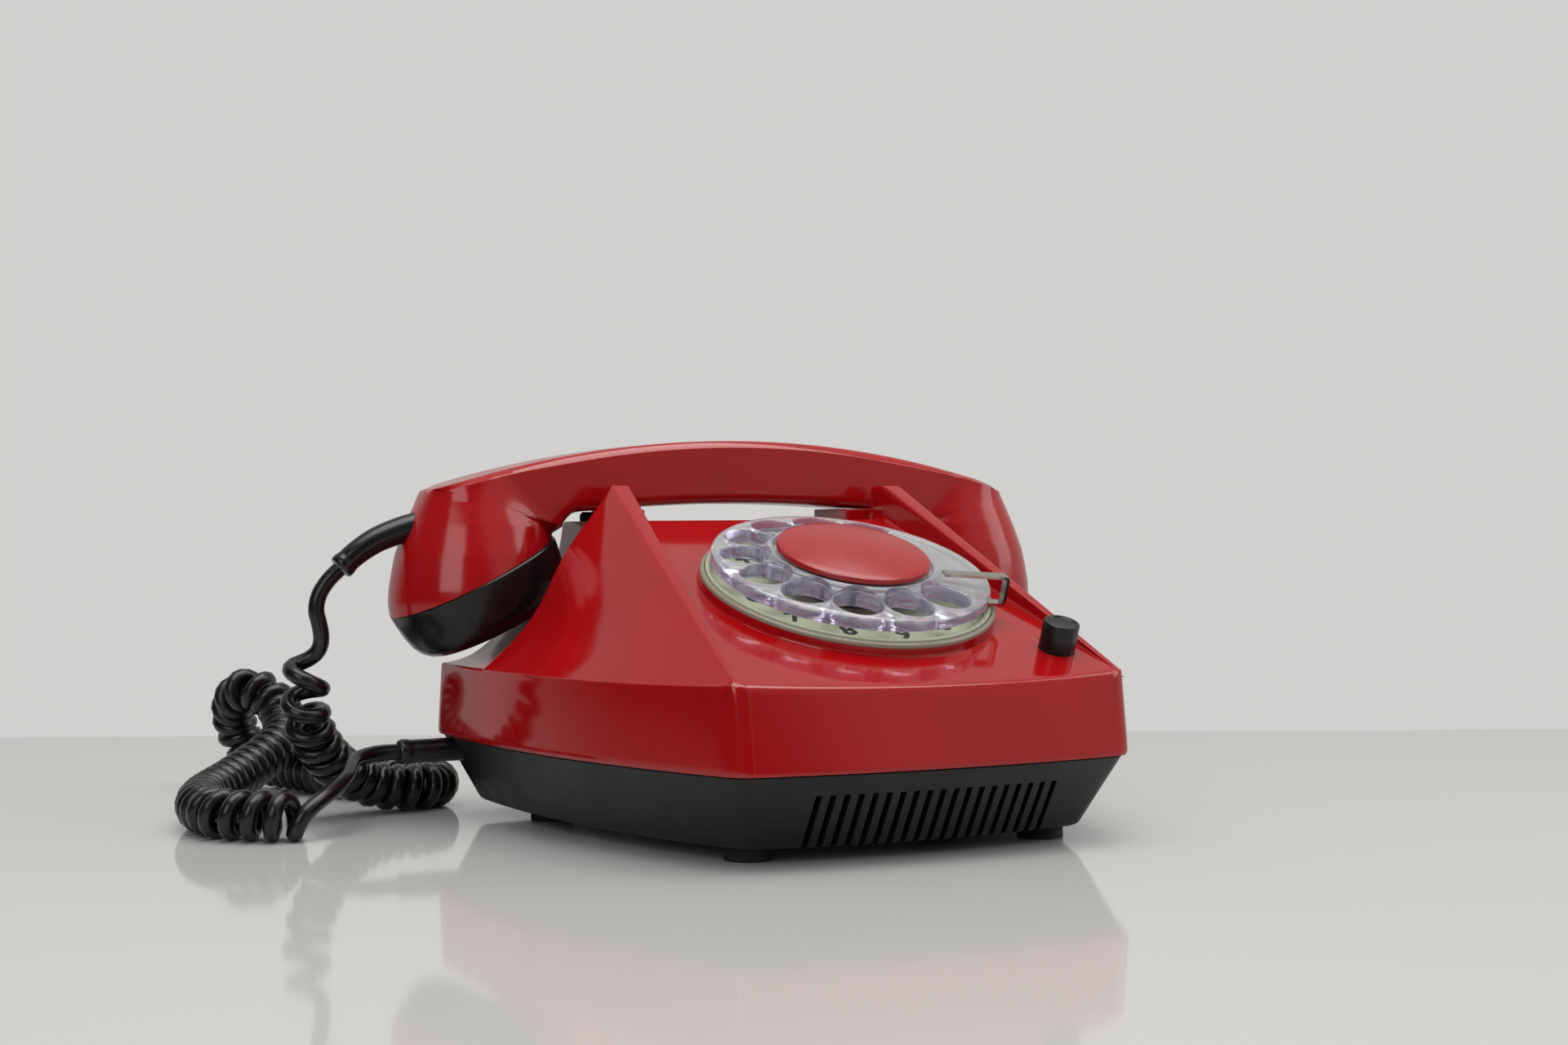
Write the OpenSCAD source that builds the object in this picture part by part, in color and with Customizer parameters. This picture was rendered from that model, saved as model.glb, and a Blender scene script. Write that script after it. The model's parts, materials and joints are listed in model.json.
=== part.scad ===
// Corded desk telephone with a rotary dial, its handset resting on the cradle.
// X runs along the handset, Y from the front to the rear, Z up from the table.
// The origin is on the table, under the middle of the telephone without its cord.

/* [Housing] */
// Half width of the housing's lower edge at the front corners
front_half_w = 59.1; // [57:0.1:61]
// Half width of the housing's lower edge at the rear corners
rear_half_w = 91.9; // [90:0.1:93]
// Distance of the front corners from the middle
front_y = 80.1; // [79:0.1:81]
// Distance of the rear corners from the middle
rear_y = 74.4; // [73.6:0.1:75]
// How far the front edge bows out
front_bow = 5.6; // [4:0.1:6]
// How far the rear edge bows out
rear_bow = 3.6; // [2:0.2:4]
// Height of the housing's lower edge
band_z = 24.5; // [24.5:0.1:25]
// Height of the ledge on top of the band
ledge_z = 46.2; // [45:0.1:46.4]
// Height of the ears that keep the handset in place
ear_z = 100; // [98:0.5:101]
// Distance of each ear's inner side from the middle
ear_in = 43; // [42:0.1:43.5]
// Distance of each ear's outer side from the middle
ear_out = 48.9; // [48:0.1:49.5]
// Thickness of the plastic walls
wall = 2.4; // [2:0.1:2.8]

/* [Base] */
// Height of the feet
foot_h = 4; // [4:0.1:4.6]
// Radius of each foot
foot_r = 6.5; // [5:0.5:7]
// Number of vent slots in the front
slot_count = 19; // [9:1:19]
// Width of a vent slot
slot_w = 1.7; // [1:0.1:2]

/* [Dial] */
// Tilt of the dial face
tilt = 20.9; // [20.9:0.1:21]
// Radius of the finger wheel
wheel_r = 40; // [38:0.1:40]
// Radius of the circle through the finger holes
hole_ring_r = 31; // [30.8:0.1:31.4]
// Radius of a finger hole
hole_r = 6.8; // [6:0.1:6.9]
// Angle from one finger hole to the next
hole_step = 27.3; // [26:0.1:27.5]
// Angle of the last finger hole from the line to the right
hole_first = -57.5; // [-59:0.5:-56]
// Radius of the centre cap
cap_r = 21.6; // [20:0.1:22.5]
// Radius of the dial shaft
shaft_r = 3; // [2.5:0.1:3.2]

/* [Handset] */
// Half length of the handset
handset_half = 109.2; // [108.5:0.1:110]
// Height of the handset's top
handset_top = 114.3; // [113:0.1:115]
// Radius of a cup
cup_half_w = 25.2; // [24.6:0.1:25.4]
// Half width of the handle
grip_half_w = 14.5; // [13:0.1:14.6]
// Distance of the middle of a cup from the handset's middle
cup_x = 83.8; // [83.6:0.1:84]
// Height of the middle of a cup's seam
seam_z = 72.9; // [72.5:0.1:73.3]
// Tilt of the cups towards each other
cup_tilt = 26.4; // [26:0.1:26.8]
// Depth of a screw cap
cap_depth = 15.4; // [14:0.1:15.5]

/* [Cord] */
// Outer diameter of the coiled cord
coil_d = 14; // [12:0.5:14]
// Diameter of the cord itself
cord_d = 4.8; // [4:0.1:5]

/* [Hidden] */
$fn = 64;
hair = 0.01;
gap = 0.3;

red = "#A31214";
black = "#1C1C1E";
cream = "#D9DBC4";
steel = "#B9BABD";
brass = "#B08D4A";

// The front lip of the dial face, the lower edge that the face rises from
face_y = -77.4;
face_z = 47.3;
face_slope = tan(tilt);
// Rear plane of the ridges: behind it the cups hang free
ridge_y = 33.4;
ear_rear_y = 43;
ear_rear_out_y = 37.6;
tower_z = 89.2;
cradle_z = 84;
saddle_z = 92.6;
cup_plane = [-sin(cup_tilt), 0, cos(cup_tilt)];
handset_y = 60.5;
dial_y = -24.8;
dial_z = face_z + (dial_y - face_y) * face_slope;
base_top_z = band_z - 0.2;
base_inset = 1.5;
bottom_front_half_w = 50.7;
bottom_rear_half_w = 79.5;
bottom_front_y = 66.5;
bottom_rear_y = 70;
floor_z = foot_h + wall;
side_power = 2.2;

// ---------- plan outline of the body ----------

function bend(a, b, c, n) = [for (i = [0:n]) let (t = i / n)
    (1 - t) * (1 - t) * a + 2 * t * (1 - t) * b + t * t * c];
function side_x(s, fw, rw) = rw - (rw - fw) * pow(1 - s, side_power);
// Right half of the outline, from the front middle round to the rear middle
function half_ring(fw, rw, fy, ry, fb, rb) = concat(
    [for (i = [0:5]) let (x = i / 6 * fw) [x, -fy - fb * (1 - pow(x / fw, 2))]],
    bend([fw - 3, -fy - fb * (1 - pow(1 - 3 / fw, 2))], [fw, -fy],
        [side_x(0.02, fw, rw), -fy + 0.02 * (fy + ry)], 3),
    [for (s = [0.08:0.08:0.88]) [side_x(s, fw, rw), -fy + s * (fy + ry)]],
    bend([rw, ry - 5], [rw, ry], [rw - 5, ry + 0.1 * rb], 4),
    [for (i = [4:-1:0]) let (x = i / 5 * rw) [x, ry + rb * (1 - pow(x / rw, 2))]]);
function mirrored(half) = concat(half, [for (i = [len(half) - 2:-1:1]) [-half[i][0], half[i][1]]]);
function ring(fw, rw, fy, ry, fb, rb) = mirrored(half_ring(fw, rw, fy, ry, fb, rb));
function band_low(g) = ring(front_half_w - g, rear_half_w - g, front_y - g, rear_y - g,
    front_bow, rear_bow);
function band_high(g) = ring(front_half_w + 0.1 - g, rear_half_w - 0.9 - g, front_y - 3.2 - g,
    rear_y - 1.2 - g, front_bow - 1, rear_bow);

module slab(points, z, h = hair) {
    translate([0, 0, z])
        linear_extrude(h)
            polygon(points);
}

// ---------- housing ----------

// Everything above the plane of the dial face, lowered by g
module above_face(g) {
    translate([0, face_y, face_z])
        rotate([tilt, 0, 0])
            translate([-150, -60, -g])
                cube([300, 300, 120]);
}

// The skirt band, drafted towards the top
module band(g) {
    hull() {
        slab(band_low(g), band_z - (g > 0 ? 1 : 0));
        slab(band_high(g), ledge_z - g - hair);
    }
}

// The wedge under the dial face with the two ridges that climb to the ears
module wedge(g) {
    hull() {
        intersection() {
            slab(band_high(g), ledge_z - g - hair);
            translate([-150, -150, 0])
                cube([300, 150 + ridge_y - g, 100]);
        }
        translate([-front_half_w + 1 + g, face_y + g, face_z - 1 - g])
            cube([2 * (front_half_w - 1 - g), 1, 1]);
        translate([-ear_out + g, ridge_y - g - hair, ear_z - 1 - g])
            cube([2 * (ear_out - g), hair, 1]);
    }
}

function tower_half(g) = [[0, tower_z - g], [51.4 - g, tower_z - g], [52.2 - g, 78], [53.2 - g, 68],
    [55 - g, 60.5], [59.5 - g, 54.5 - g / 2], [66 - g / 2, 50.2 - g], [74, 47.6 - g], [84, ledge_z - g]];
// The tower behind the ears that carries the handset, with flanks that sweep out to the ledge
module tower(g) {
    half = tower_half(g);
    other = [for (i = [len(half) - 1:-1:1]) [-half[i][0], half[i][1]]];
    intersection() {
        translate([0, 130, 0])
            rotate([90, 0, 0])
                linear_extrude(130 - ridge_y + 3 + g)
                    polygon(concat(half, [[84, 30], [-84, 30]], other));
        slab(band_high(g), 20, 80);
        // The rear face leans forward
        translate([-100, 0, 0])
            rotate([90, 0, 90])
                linear_extrude(200)
                    polygon([[0, 20], [rear_y + 10, 20], [rear_y + 10, ledge_z - g],
                        [rear_y + 1 - g, ledge_z - g], [rear_y - 5 - g, tower_z], [0, tower_z]]);
    }
}

module ears() {
    for (side = [-1, 1])
            mirror([side < 0 ? 1 : 0, 0, 0])
                translate([0, 0, tower_z - 8])
                    linear_extrude(ear_z - tower_z + 8)
                        polygon([[ear_in, ridge_y - 1], [ear_out, ridge_y - 1],
                            [ear_out, ear_rear_out_y], [ear_in, ear_rear_y]]);
}

// The dial face lies between the ridges, and the cradle lies behind it between the ears
module face_recess() {
    intersection() {
        above_face(0);
        linear_extrude(200)
            polygon([[-ear_in, ridge_y + 0.4], [ear_in, ridge_y + 0.4],
                [ear_in + 14.8, face_y - 7], [-ear_in - 14.8, face_y - 7]]);
    }
    translate([-ear_in, ridge_y - 0.6, tower_z + 0.2])
        cube([2 * ear_in, 100, 60]);
    translate([-36, ridge_y + 4, cradle_z])
        cube([72, 100, 60]);
}

module on_dial() {
    translate([0, dial_y, dial_z])
        rotate([tilt, 0, 0])
            children();
}

button_u = 46.2;
button_v = -40.6;
button_r = 5.1;
stem_r = 3;
button_h = 8.4;
button_travel = 3;
plunger_x = 46.4;
plunger_r = 2.6;
plunger_travel = 5;
boss_at = [[-58, -8], [58, -8], [-62, 52], [62, 52]];
boss_r = 4.2;
screw_r = 1.6;

module housing() {
    color(red)
        difference() {
            union() {
                band(0);
                difference() {
                    union() {
                        wedge(0);
                        ears();
                        tower(0);
                    }
                    face_recess();
                }
                for (side = [-1, 1])
                    translate([side * 40 - 2, 50, tower_z - 1])
                        cube([4, 16, saddle_z - tower_z + 1]);
            }
            difference() {
                union() {
                    band(wall);
                    difference() {
                        wedge(wall);
                        above_face(wall);
                    }
                    difference() {
                        tower(wall);
                        translate([-36 - wall, ridge_y, cradle_z - wall])
                            cube([72 + 2 * wall, 100, 20]);
                    }
                    slab(band_low(wall), band_z - 2, 3);
                }
                for (p = boss_at)
                    translate([p[0], p[1], floor_z + 14])
                        cylinder(r = boss_r, h = 80);
            }
            for (p = boss_at)
                translate([p[0], p[1], floor_z + 13])
                    cylinder(r = screw_r, h = 16);
            on_dial()
                translate([0, 0, -8])
                    cylinder(r = 34, h = 10);
            on_dial()
                translate([button_u, button_v, -8])
                    cylinder(r = button_r + gap, h = 10);
            for (side = [-1, 1])
                translate([side * plunger_x, handset_y, cradle_z - 10])
                    cylinder(r = plunger_r + 0.3, h = 20);
        }
}

// ---------- base ----------

slot_pitch = 70.8 / 18;
sleeve_y = 63.4;
sleeve_z = 20.2;
line_x = 30;
line_z = 15;
foot_at = [[-45, -55.5], [45, -55.5], [-65, 42], [65, 42]];

function base_low(g) = ring(bottom_front_half_w - g, bottom_rear_half_w - g, bottom_front_y - g,
    bottom_rear_y - g, front_bow, rear_bow);
function base_high(g) = band_low(base_inset + g);

module base_shell() {
    color(black)
        difference() {
            union() {
                difference() {
                    hull() {
                        slab(base_low(0), foot_h);
                        slab(base_high(0), base_top_z - hair);
                    }
                    hull() {
                        slab(base_low(wall), floor_z);
                        slab(base_high(wall), base_top_z + hair);
                    }
                }
                // Rim that locates the housing
                difference() {
                    slab(band_low(wall + 0.9), base_top_z - 3.5, 6.5);
                    slab(band_low(wall + 2.5), base_top_z - 4, 8);
                }
                for (p = boss_at)
                    translate([p[0], p[1], foot_h + 1])
                        cylinder(r = boss_r, h = base_top_z - foot_h - 1);
                for (x = [-34, 34], y = [4, 56])
                    translate([x, y, foot_h + 1])
                        cylinder(r = 3, h = 7);
            }
            // Vent slots
            for (i = [0:slot_count - 1])
                translate([(i - (slot_count - 1) / 2) * slot_pitch - slot_w / 2, -100, foot_h - 1])
                    cube([slot_w, 40, 15.6]);
            for (p = boss_at) {
                translate([p[0], p[1], foot_h - 1])
                    cylinder(r = screw_r + 0.2, h = 40);
                translate([p[0], p[1], foot_h - 1])
                    cylinder(r = 3.4, h = 8);
            }
            for (p = foot_at)
                translate([p[0], p[1], foot_h - 1])
                    cylinder(r = foot_r, h = 2);
            for (x = [-34, 34], y = [4, 56])
                translate([x, y, foot_h + 3])
                    cylinder(r = 1.2, h = 10);
            // Outlets of the handset cord and the line cord
            translate([-100, sleeve_y, sleeve_z])
                rotate([0, 90, 0])
                    cylinder(r = 3.5, h = 30);
            translate([line_x, 60, line_z])
                rotate([-90, 0, 0])
                    cylinder(r = 4, h = 30);
        }
}

module feet() {
    color("#151515")
        for (p = foot_at)
            translate([p[0], p[1], 0])
                difference() {
                    cylinder(r = foot_r, h = foot_h + 1);
                    translate([0, 0, -1])
                        cylinder(r = 2, h = 2);
                }
}

module housing_screws() {
    color(steel)
        for (p = boss_at)
            translate([p[0], p[1], foot_h + 3.6])
                difference() {
                    union() {
                        cylinder(r = screw_r, h = 20);
                        translate([0, 0, 0])
                            cylinder(r = 3, h = 2.6);
                    }
                    translate([-2.2, -0.4, -1])
                        cube([4.4, 0.8, 2]);
                }
}

module line_grommet() {
    color("#202020")
        translate([line_x, bottom_rear_y - 0.6, line_z])
            rotate([-90, 0, 0])
                difference() {
                    union() {
                        cylinder(r = 4, h = 9);
                        cylinder(r = 5.4, h = 1.6);
                    }
                    translate([0, 0, -1])
                        cylinder(r = 2.4, h = 12);
                }
}

module cord_clamp() {
    color(black)
        translate([-70, sleeve_y - 4, floor_z])
            difference() {
                cube([6, 8, 17]);
                translate([-1, 4, sleeve_z - floor_z])
                    rotate([0, 90, 0])
                        cylinder(r = 2.6, h = 8);
            }
}

// ---------- circuit board and ringer ----------

board_z = foot_h + 8;
board_t = 1.6;

module circuit_board() {
    color("#8A6A3C")
        difference() {
            translate([-40, -2, board_z])
                cube([80, 64, board_t]);
            for (x = [-34, 34], y = [4, 56])
                translate([x, y, board_z - 1])
                    cylinder(r = 1.4, h = 4);
            translate([0, 34, board_z - 1])
                cylinder(r = 5.2, h = 4);
        }
}

module board_screws() {
    color(steel)
        for (x = [-34, 34], y = [4, 56])
            translate([x, y, board_z - 5]) {
                cylinder(r = 1.2, h = 5 + board_t);
                translate([0, 0, 5 + board_t])
                    cylinder(r = 2.4, h = 1.4);
            }
}

module speech_transformer() {
    color("#4A4A4E")
        translate([-28, 10, board_z + board_t]) {
            difference() {
                cube([20, 16, 16]);
                translate([3, -1, 3])
                    cube([4, 18, 10]);
                translate([13, -1, 3])
                    cube([4, 18, 10]);
            }
            translate([3, -2, 3])
                cube([4, 20, 10]);
            translate([13, -2, 3])
                cube([4, 20, 10]);
        }
}

module capacitors() {
    color("#B9A23C")
        for (i = [0:2])
            translate([6 + i * 11, 8, board_z + board_t + 4])
                rotate([-90, 0, 0])
                    cylinder(r = 4, h = 18 - 3 * i);
}

module terminal_block() {
    color("#D8D4C6")
        difference() {
            translate([-20, 50, board_z + board_t])
                cube([40, 9, 9]);
            for (i = [0:5])
                translate([-16.5 + i * 6.6, 54.5, board_z + board_t + 4])
                    cylinder(r = 1.7, h = 6);
        }
}

gong_r = 20;
gong_z = 40;
gong_x = 22.5;
gong_y = 34;
gong_h = 12;

module ringer_bracket() {
    color(steel) {
        difference() {
            union() {
                translate([-30, gong_y - 6, gong_z - 5])
                    cube([60, 12, 2]);
                translate([0, gong_y, floor_z])
                    cylinder(r = 5, h = gong_z - 5 - floor_z);
            }
            for (side = [-1, 1])
                translate([side * gong_x, gong_y, gong_z - 6])
                    cylinder(r = 1.7, h = 4);
            translate([0, gong_y + 3, gong_z - 8])
                cylinder(r = 1.05, h = 8);
        }
        for (side = [-1, 1])
            translate([side * gong_x, gong_y, gong_z - 3])
                difference() {
                    cylinder(r = 3, h = gong_h + 1);
                    translate([0, 0, -1])
                        cylinder(r = 1.7, h = gong_h + 4);
                }
    }
}

module gong(side) {
    color(brass)
        translate([side * gong_x, gong_y, gong_z])
            rotate_extrude()
                polygon([[1.8, gong_h], [8, gong_h - 0.6], [14, gong_h - 3], [18, gong_h - 7],
                    [gong_r - 0.4, 0], [gong_r - 1.6, 0], [16.9, gong_h - 7.6], [13.2, gong_h - 4.2],
                    [7.6, gong_h - 2], [1.8, gong_h - 1.6]]);
}

module gong_left() {
    gong(-1);
}

module gong_right() {
    gong(1);
}

module gong_screws() {
    color(steel)
        for (side = [-1, 1])
            translate([side * gong_x, gong_y, gong_z - 4.9]) {
                cylinder(r = 1.7, h = gong_h + 4.9);
                translate([0, 0, gong_h + 4.9])
                    cylinder(r = 3.4, h = 2);
            }
}

module ringer_coils() {
    color("#7A3B22")
        for (side = [-1, 1])
            translate([side * 9, gong_y, gong_z - 19])
                difference() {
                    cylinder(r = 3.4, h = 14);
                    translate([0, 0, -1])
                        cylinder(r = 1.2, h = 16);
                }
}

// A pin, an arm and a striker that swings between the gongs
module clapper() {
    color(steel) {
        translate([0, gong_y + 3, gong_z - 7.5])
            cylinder(r = 1, h = 9.5);
        translate([-0.8, gong_y - 0.5, gong_z - 1.6])
            cube([1.6, 3.5, 1.6]);
        translate([-0.8, gong_y - 9, gong_z - 1.6])
            cube([1.6, 9, 1.6]);
        translate([0, gong_y - 10, gong_z - 2.4])
            cylinder(r = 1.6, h = 5);
    }
}

// ---------- hook switch ----------

bar_z = 71;

module hook_plungers() {
    color(black)
        for (side = [-1, 1])
            translate([side * plunger_x, handset_y, bar_z + 3]) {
                cylinder(r = plunger_r, h = 92.1 - bar_z - 3 - 1);
                translate([0, 0, 92.1 - bar_z - 3 - 1])
                    cylinder(r1 = plunger_r, r2 = plunger_r - 0.8, h = 1);
            }
}

module hook_bar() {
    color("#D9D4C4") {
        translate([-48.6, handset_y - 3, bar_z])
            cube([97.2, 6, 3]);
        translate([-4, handset_y - 6, bar_z])
            cube([8, 4, 3]);
    }
}

module hook_bracket() {
    color(steel)
        for (side = [-1, 1])
            translate([side * 30 - 6, handset_y - 10, bar_z - 8]) {
                cube([12, 1.5, cradle_z - wall - bar_z + 8]);
                cube([12, 16, 1.5]);
            }
}

module hook_contacts() {
    color(brass)
        translate([0, handset_y - 14, bar_z - 10]) {
            for (i = [0:3])
                translate([-6, i * 1.6 - 1, 0])
                    cube([3.4, 0.5, 12]);
            translate([-7, -3, -4])
                cube([14, 9, 5]);
            translate([-30, 4, -4])
                cube([60, 1.5, 6]);
        }
}

// ---------- dial ----------

plate_t = 1.2;
wheel_low = 7.2;
wheel_high = 11.8;
wheel_rim = 10.5;
gear_n = 60;
pinion_n = 12;
gear_m = 0.6;
gear_w = -14;
gear_t = 2;
pinion_u = gear_m * (gear_n + pinion_n) / 2 + 0.12;
back_w = -26;

module dial_bezel() {
    color("#8E8778")
        on_dial()
            rotate_extrude()
                polygon([[38, 0], [42.6, 0], [42.5, 2.2], [41.9, 3.1], [41.3, 3.1], [41.3, 1], [38, 1]]);
}

module number_ring() {
    color(cream)
        on_dial()
            rotate_extrude()
                polygon([[7, 1.2], [41.1, 1.2], [41.1, 4.2], [40.8, 4.5], [40.1, 4.5], [39.6, 4],
                    [39.2, 2.9], [38.4, 2.6], [7, 2.6]]);
}

// The strip over the wheel, its outer leg and the lower leg that holds it
module finger_stop() {
    stop_turn = 169.7;
    stop_w = 3.2;
    stop_t = 0.9;
    color(steel)
        on_dial()
            translate([38.8, -19.8, 0])
                rotate([0, 0, stop_turn])
                    translate([0, -stop_w / 2, 0])
                        rotate([90, 0, 0])
                            translate([0, 0, -stop_w])
                                linear_extrude(stop_w)
                                    polygon([[18.6, 13.9], [0.2, 13.9], [-0.5, 13.6], [-0.9, 12.9],
                                        [-0.9, 6], [-0.5, 5.2], [0.2, 4.9], [5.6, 4.9], [5.6, 2.6],
                                        [8.4, 2.6], [8.4, 5.8], [0.6, 5.8], [0, 6.4], [0, 12.4],
                                        [0.6, 13], [18.6, 13]]);
}

module dial_frame() {
    color("#5B564C")
        on_dial()
            difference() {
                union() {
                    cylinder(r = 37.4, h = plate_t);
                    difference() {
                        translate([0, 0, -6])
                            cylinder(r = 33.4, h = 6);
                        translate([0, 0, -7])
                            cylinder(r = 31.6, h = 6);
                    }
                    for (a = [30, 150, 270])
                        rotate([0, 0, a])
                            translate([29, 0, back_w + 2])
                                cylinder(r = 2.5, h = -back_w - 2);
                }
                translate([0, 0, -9])
                    cylinder(r = 5.5, h = 12);
                translate([pinion_u, 0, -9])
                    cylinder(r = 1.05, h = 9.5);
            }
}

module dial_bearing() {
    color(brass)
        on_dial()
            translate([0, 0, -7])
                difference() {
                    cylinder(r = 5.5, h = 8);
                    translate([0, 0, -1])
                        cylinder(r = shaft_r + 0.05, h = 10);
                }
}

module dial_back_plate() {
    color(steel)
        on_dial()
            translate([0, 0, back_w])
                difference() {
                    cylinder(r = 32, h = 2);
                    translate([0, 0, -1])
                        cylinder(r = shaft_r + 0.05, h = 4);
                    translate([pinion_u, 0, -1])
                        cylinder(r = 1.05, h = 4);
                    for (a = [30, 150, 270])
                        rotate([0, 0, a])
                            translate([29, 0, -1])
                                cylinder(r = 1.3, h = 4);
                }
}

module dial_screws() {
    color(steel)
        on_dial()
            for (a = [30, 150, 270])
                rotate([0, 0, a])
                    translate([29, 0, back_w - 1.2]) {
                        cylinder(r = 2.4, h = 1.2);
                        cylinder(r = 1.3, h = 3.2);
                    }
}

module dial_shaft() {
    color(steel)
        on_dial()
            translate([0, 0, back_w - 1])
                cylinder(r = shaft_r, h = wheel_high - back_w + 1);
}

function tooth_ring(n, m, share) = [for (i = [0:n - 1], k = [0:3]) let (
    r = (k == 0 || k == 3) ? m * n / 2 - 1.15 * m : m * n / 2 + 0.8 * m,
    wide = (k == 0 || k == 3) ? share * 1.5 : share * 0.55,
    a = (i + (k < 2 ? -wide : wide) / 2) * 360 / n) [r * cos(a), r * sin(a)]];

module main_gear() {
    color(brass)
        on_dial()
            translate([0, 0, gear_w])
                linear_extrude(gear_t)
                    difference() {
                        polygon(tooth_ring(gear_n, gear_m, 0.4));
                        circle(r = shaft_r);
                    }
}

module spring_drum() {
    color("#6E6A60")
        on_dial()
            translate([0, 0, gear_w + gear_t])
                difference() {
                    cylinder(r = 13, h = 4);
                    translate([0, 0, -1])
                        cylinder(r = shaft_r, h = 6);
                }
}

module finger_wheel() {
    color([0.86, 0.86, 0.92, 0.45])
        on_dial()
            difference() {
                rotate_extrude()
                    polygon([[shaft_r, wheel_low + 0.4], [20, wheel_low + 0.4], [21, wheel_low],
                        [wheel_r - 1, wheel_low], [wheel_r, wheel_low + 1], [wheel_r, wheel_rim],
                        [wheel_r - 0.5, wheel_rim + 0.9], [wheel_r - 1.6, wheel_high], [25.4, wheel_high],
                        [24.4, wheel_high + 0.5], [24, wheel_high + 1.4], [cap_r + 0.3, wheel_high + 1.4],
                        [cap_r + 0.3, wheel_high], [shaft_r, wheel_high]]);
                for (i = [0:9])
                    rotate([0, 0, hole_first - i * hole_step])
                        translate([hole_ring_r, 0, wheel_low - 1])
                            cylinder(r = hole_r, h = 8);
            }
}

module centre_cap() {
    color(red)
        on_dial()
            rotate_extrude()
                polygon([[0, wheel_high], [cap_r, wheel_high], [cap_r, wheel_high + 2.5],
                    [cap_r - 0.5, wheel_high + 3.1], [18, wheel_high + 3.8], [12, wheel_high + 4.3],
                    [6, wheel_high + 4.6], [0, wheel_high + 4.7]]);
}

// The pinion that turns the pulse cam, held half a tooth out so that it meshes
module pulse_pinion() {
    color(brass)
        on_dial()
            translate([pinion_u, 0, 0]) {
                translate([0, 0, gear_w - 0.2])
                    rotate([0, 0, 180 / pinion_n * 1])
                        linear_extrude(gear_t + 0.4)
                            rotate([0, 0, 180])
                                polygon(tooth_ring(pinion_n, gear_m, 0.4));
                translate([0, 0, back_w - 0.4])
                    cylinder(r = 1, h = -back_w + 0.2);
                translate([0, 0, -21])
                    cylinder(r = 6, h = 1.6);
            }
}

module pulse_contacts() {
    color(brass)
        on_dial() {
            for (i = [0:2])
                translate([pinion_u + 6.6, -9 + i * 1.4, -22])
                    cube([0.6, 1, 7]);
            translate([pinion_u + 4.6, -11, back_w + 2])
                cube([4, 6, 2.4]);
        }
}

governor_u = -14;
governor_w = -19;

module governor_bracket() {
    color(steel)
        on_dial()
            difference() {
                union() {
                    for (v = [-20, -4])
                        translate([governor_u - 4, v - 0.8, back_w + 2])
                            cube([8, 1.6, 9]);
                    translate([governor_u - 4, -20, back_w + 2])
                        cube([8, 16, 1]);
                }
                translate([governor_u, -30, governor_w])
                    rotate([-90, 0, 0])
                        cylinder(r = 1.05, h = 40);
            }
}

module governor_rotor() {
    color(brass)
        on_dial()
            translate([governor_u, -21.5, governor_w])
                rotate([-90, 0, 0]) {
                    cylinder(r = 1, h = 19);
                    translate([0, 0, 4])
                        cylinder(r = 3.4, h = 5);
                    translate([0, 0, 10])
                        cylinder(r = 1.6, h = 5);
                }
}

// ---------- button ----------

module on_button() {
    on_dial()
        translate([button_u, button_v, 0])
            children();
}

module button_collar() {
    color(black)
        on_button()
            translate([0, 0, -6])
                difference() {
                    cylinder(r = 8, h = 6 - wall);
                    translate([0, 0, -1])
                        cylinder(r = button_r + 0.06, h = 8);
                }
}

module button_cap() {
    color(black)
        on_button() {
            difference() {
                translate([0, 0, -5])
                    cylinder(r = button_r, h = button_h + 5);
                translate([0, 0, button_h + 12.4])
                    sphere(r = 13);
            }
            translate([0, 0, -12])
                cylinder(r = stem_r, h = 8);
        }
}

// The return spring, at its length when the button is down
module button_spring() {
    color(steel)
        on_button()
            translate([0, 0, -10])
                difference() {
                    cylinder(r = 4.6, h = 5 - button_travel - 0.2);
                    translate([0, 0, -1])
                        cylinder(r = 3.6, h = 6);
                }
}

module button_switch() {
    color("#D8D4C6")
        on_button()
            difference() {
                translate([-7, -5, -22])
                    cube([14, 10, 12]);
                translate([0, 0, -16])
                    cylinder(r = stem_r + 0.06, h = 8);
            }
}

// ---------- handset ----------

cup_tan = tan(cup_tilt);
capsule_r = 19;
top_r = 320;
// Underside of the handle, arched a little
function under_z(x) = 94.6 - 0.00095 * x * x;
function top_z(x) = handset_top - top_r + sqrt(top_r * top_r - x * x);
// Height, middle, half length and half width of the sections through a cup
cup_layers = [[58, 0, -0.9, -0.9], [65, 0, 0, 0], [75, -0.3, -0.5, -1.1], [81.5, -1.2, -1.5, -2.9],
    [88, -2.5, -2.8, -5], [95, -1.5, -6.7, -8], [100, -0.4, -9.8, -10.2], [102.4, 0, -11.4, -11.4]];
function handle_half() = concat(
    [for (x = [0:12:96]) [x, top_z(x)]],
    [[99, 97.4], [100.6, 93.6], [100, 84], [61, 86.2], [58.9, 88.4], [57.2, 90.7], [54.6, 92.1]],
    [for (x = [49:-7:0]) [x, under_z(x)]]);
// The hollow of the handle, which opens into both cups
function cavity_half() = concat([for (x = [0:12:84]) [x, top_z(x) - 3.4]],
    [[90, 95.6], [94, 90], [92, 84], [74, 84], [64, 92.6], [50, 95.6], [0, 97.8]]);
function both_sides(half) = concat(half, [for (i = [len(half) - 2:-1:1]) [-half[i][0], half[i][1]]]);

module side_extrude(half_w, points) {
    translate([0, handset_y + half_w, 0])
        rotate([90, 0, 0])
            linear_extrude(2 * half_w)
                polygon(points);
}

module on_cup(side) {
    translate([side * cup_x, handset_y, seam_z])
        rotate([0, side * cup_tilt, 0])
            children();
}

module cup_dome(side) {
    hull()
        for (c = cup_layers)
            translate([side * (handset_half - cup_half_w + c[1]), handset_y, c[0]])
                scale([cup_half_w + c[2], cup_half_w + c[3], 1])
                    cylinder(r = 1, h = hair, $fn = 48);
}

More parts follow.
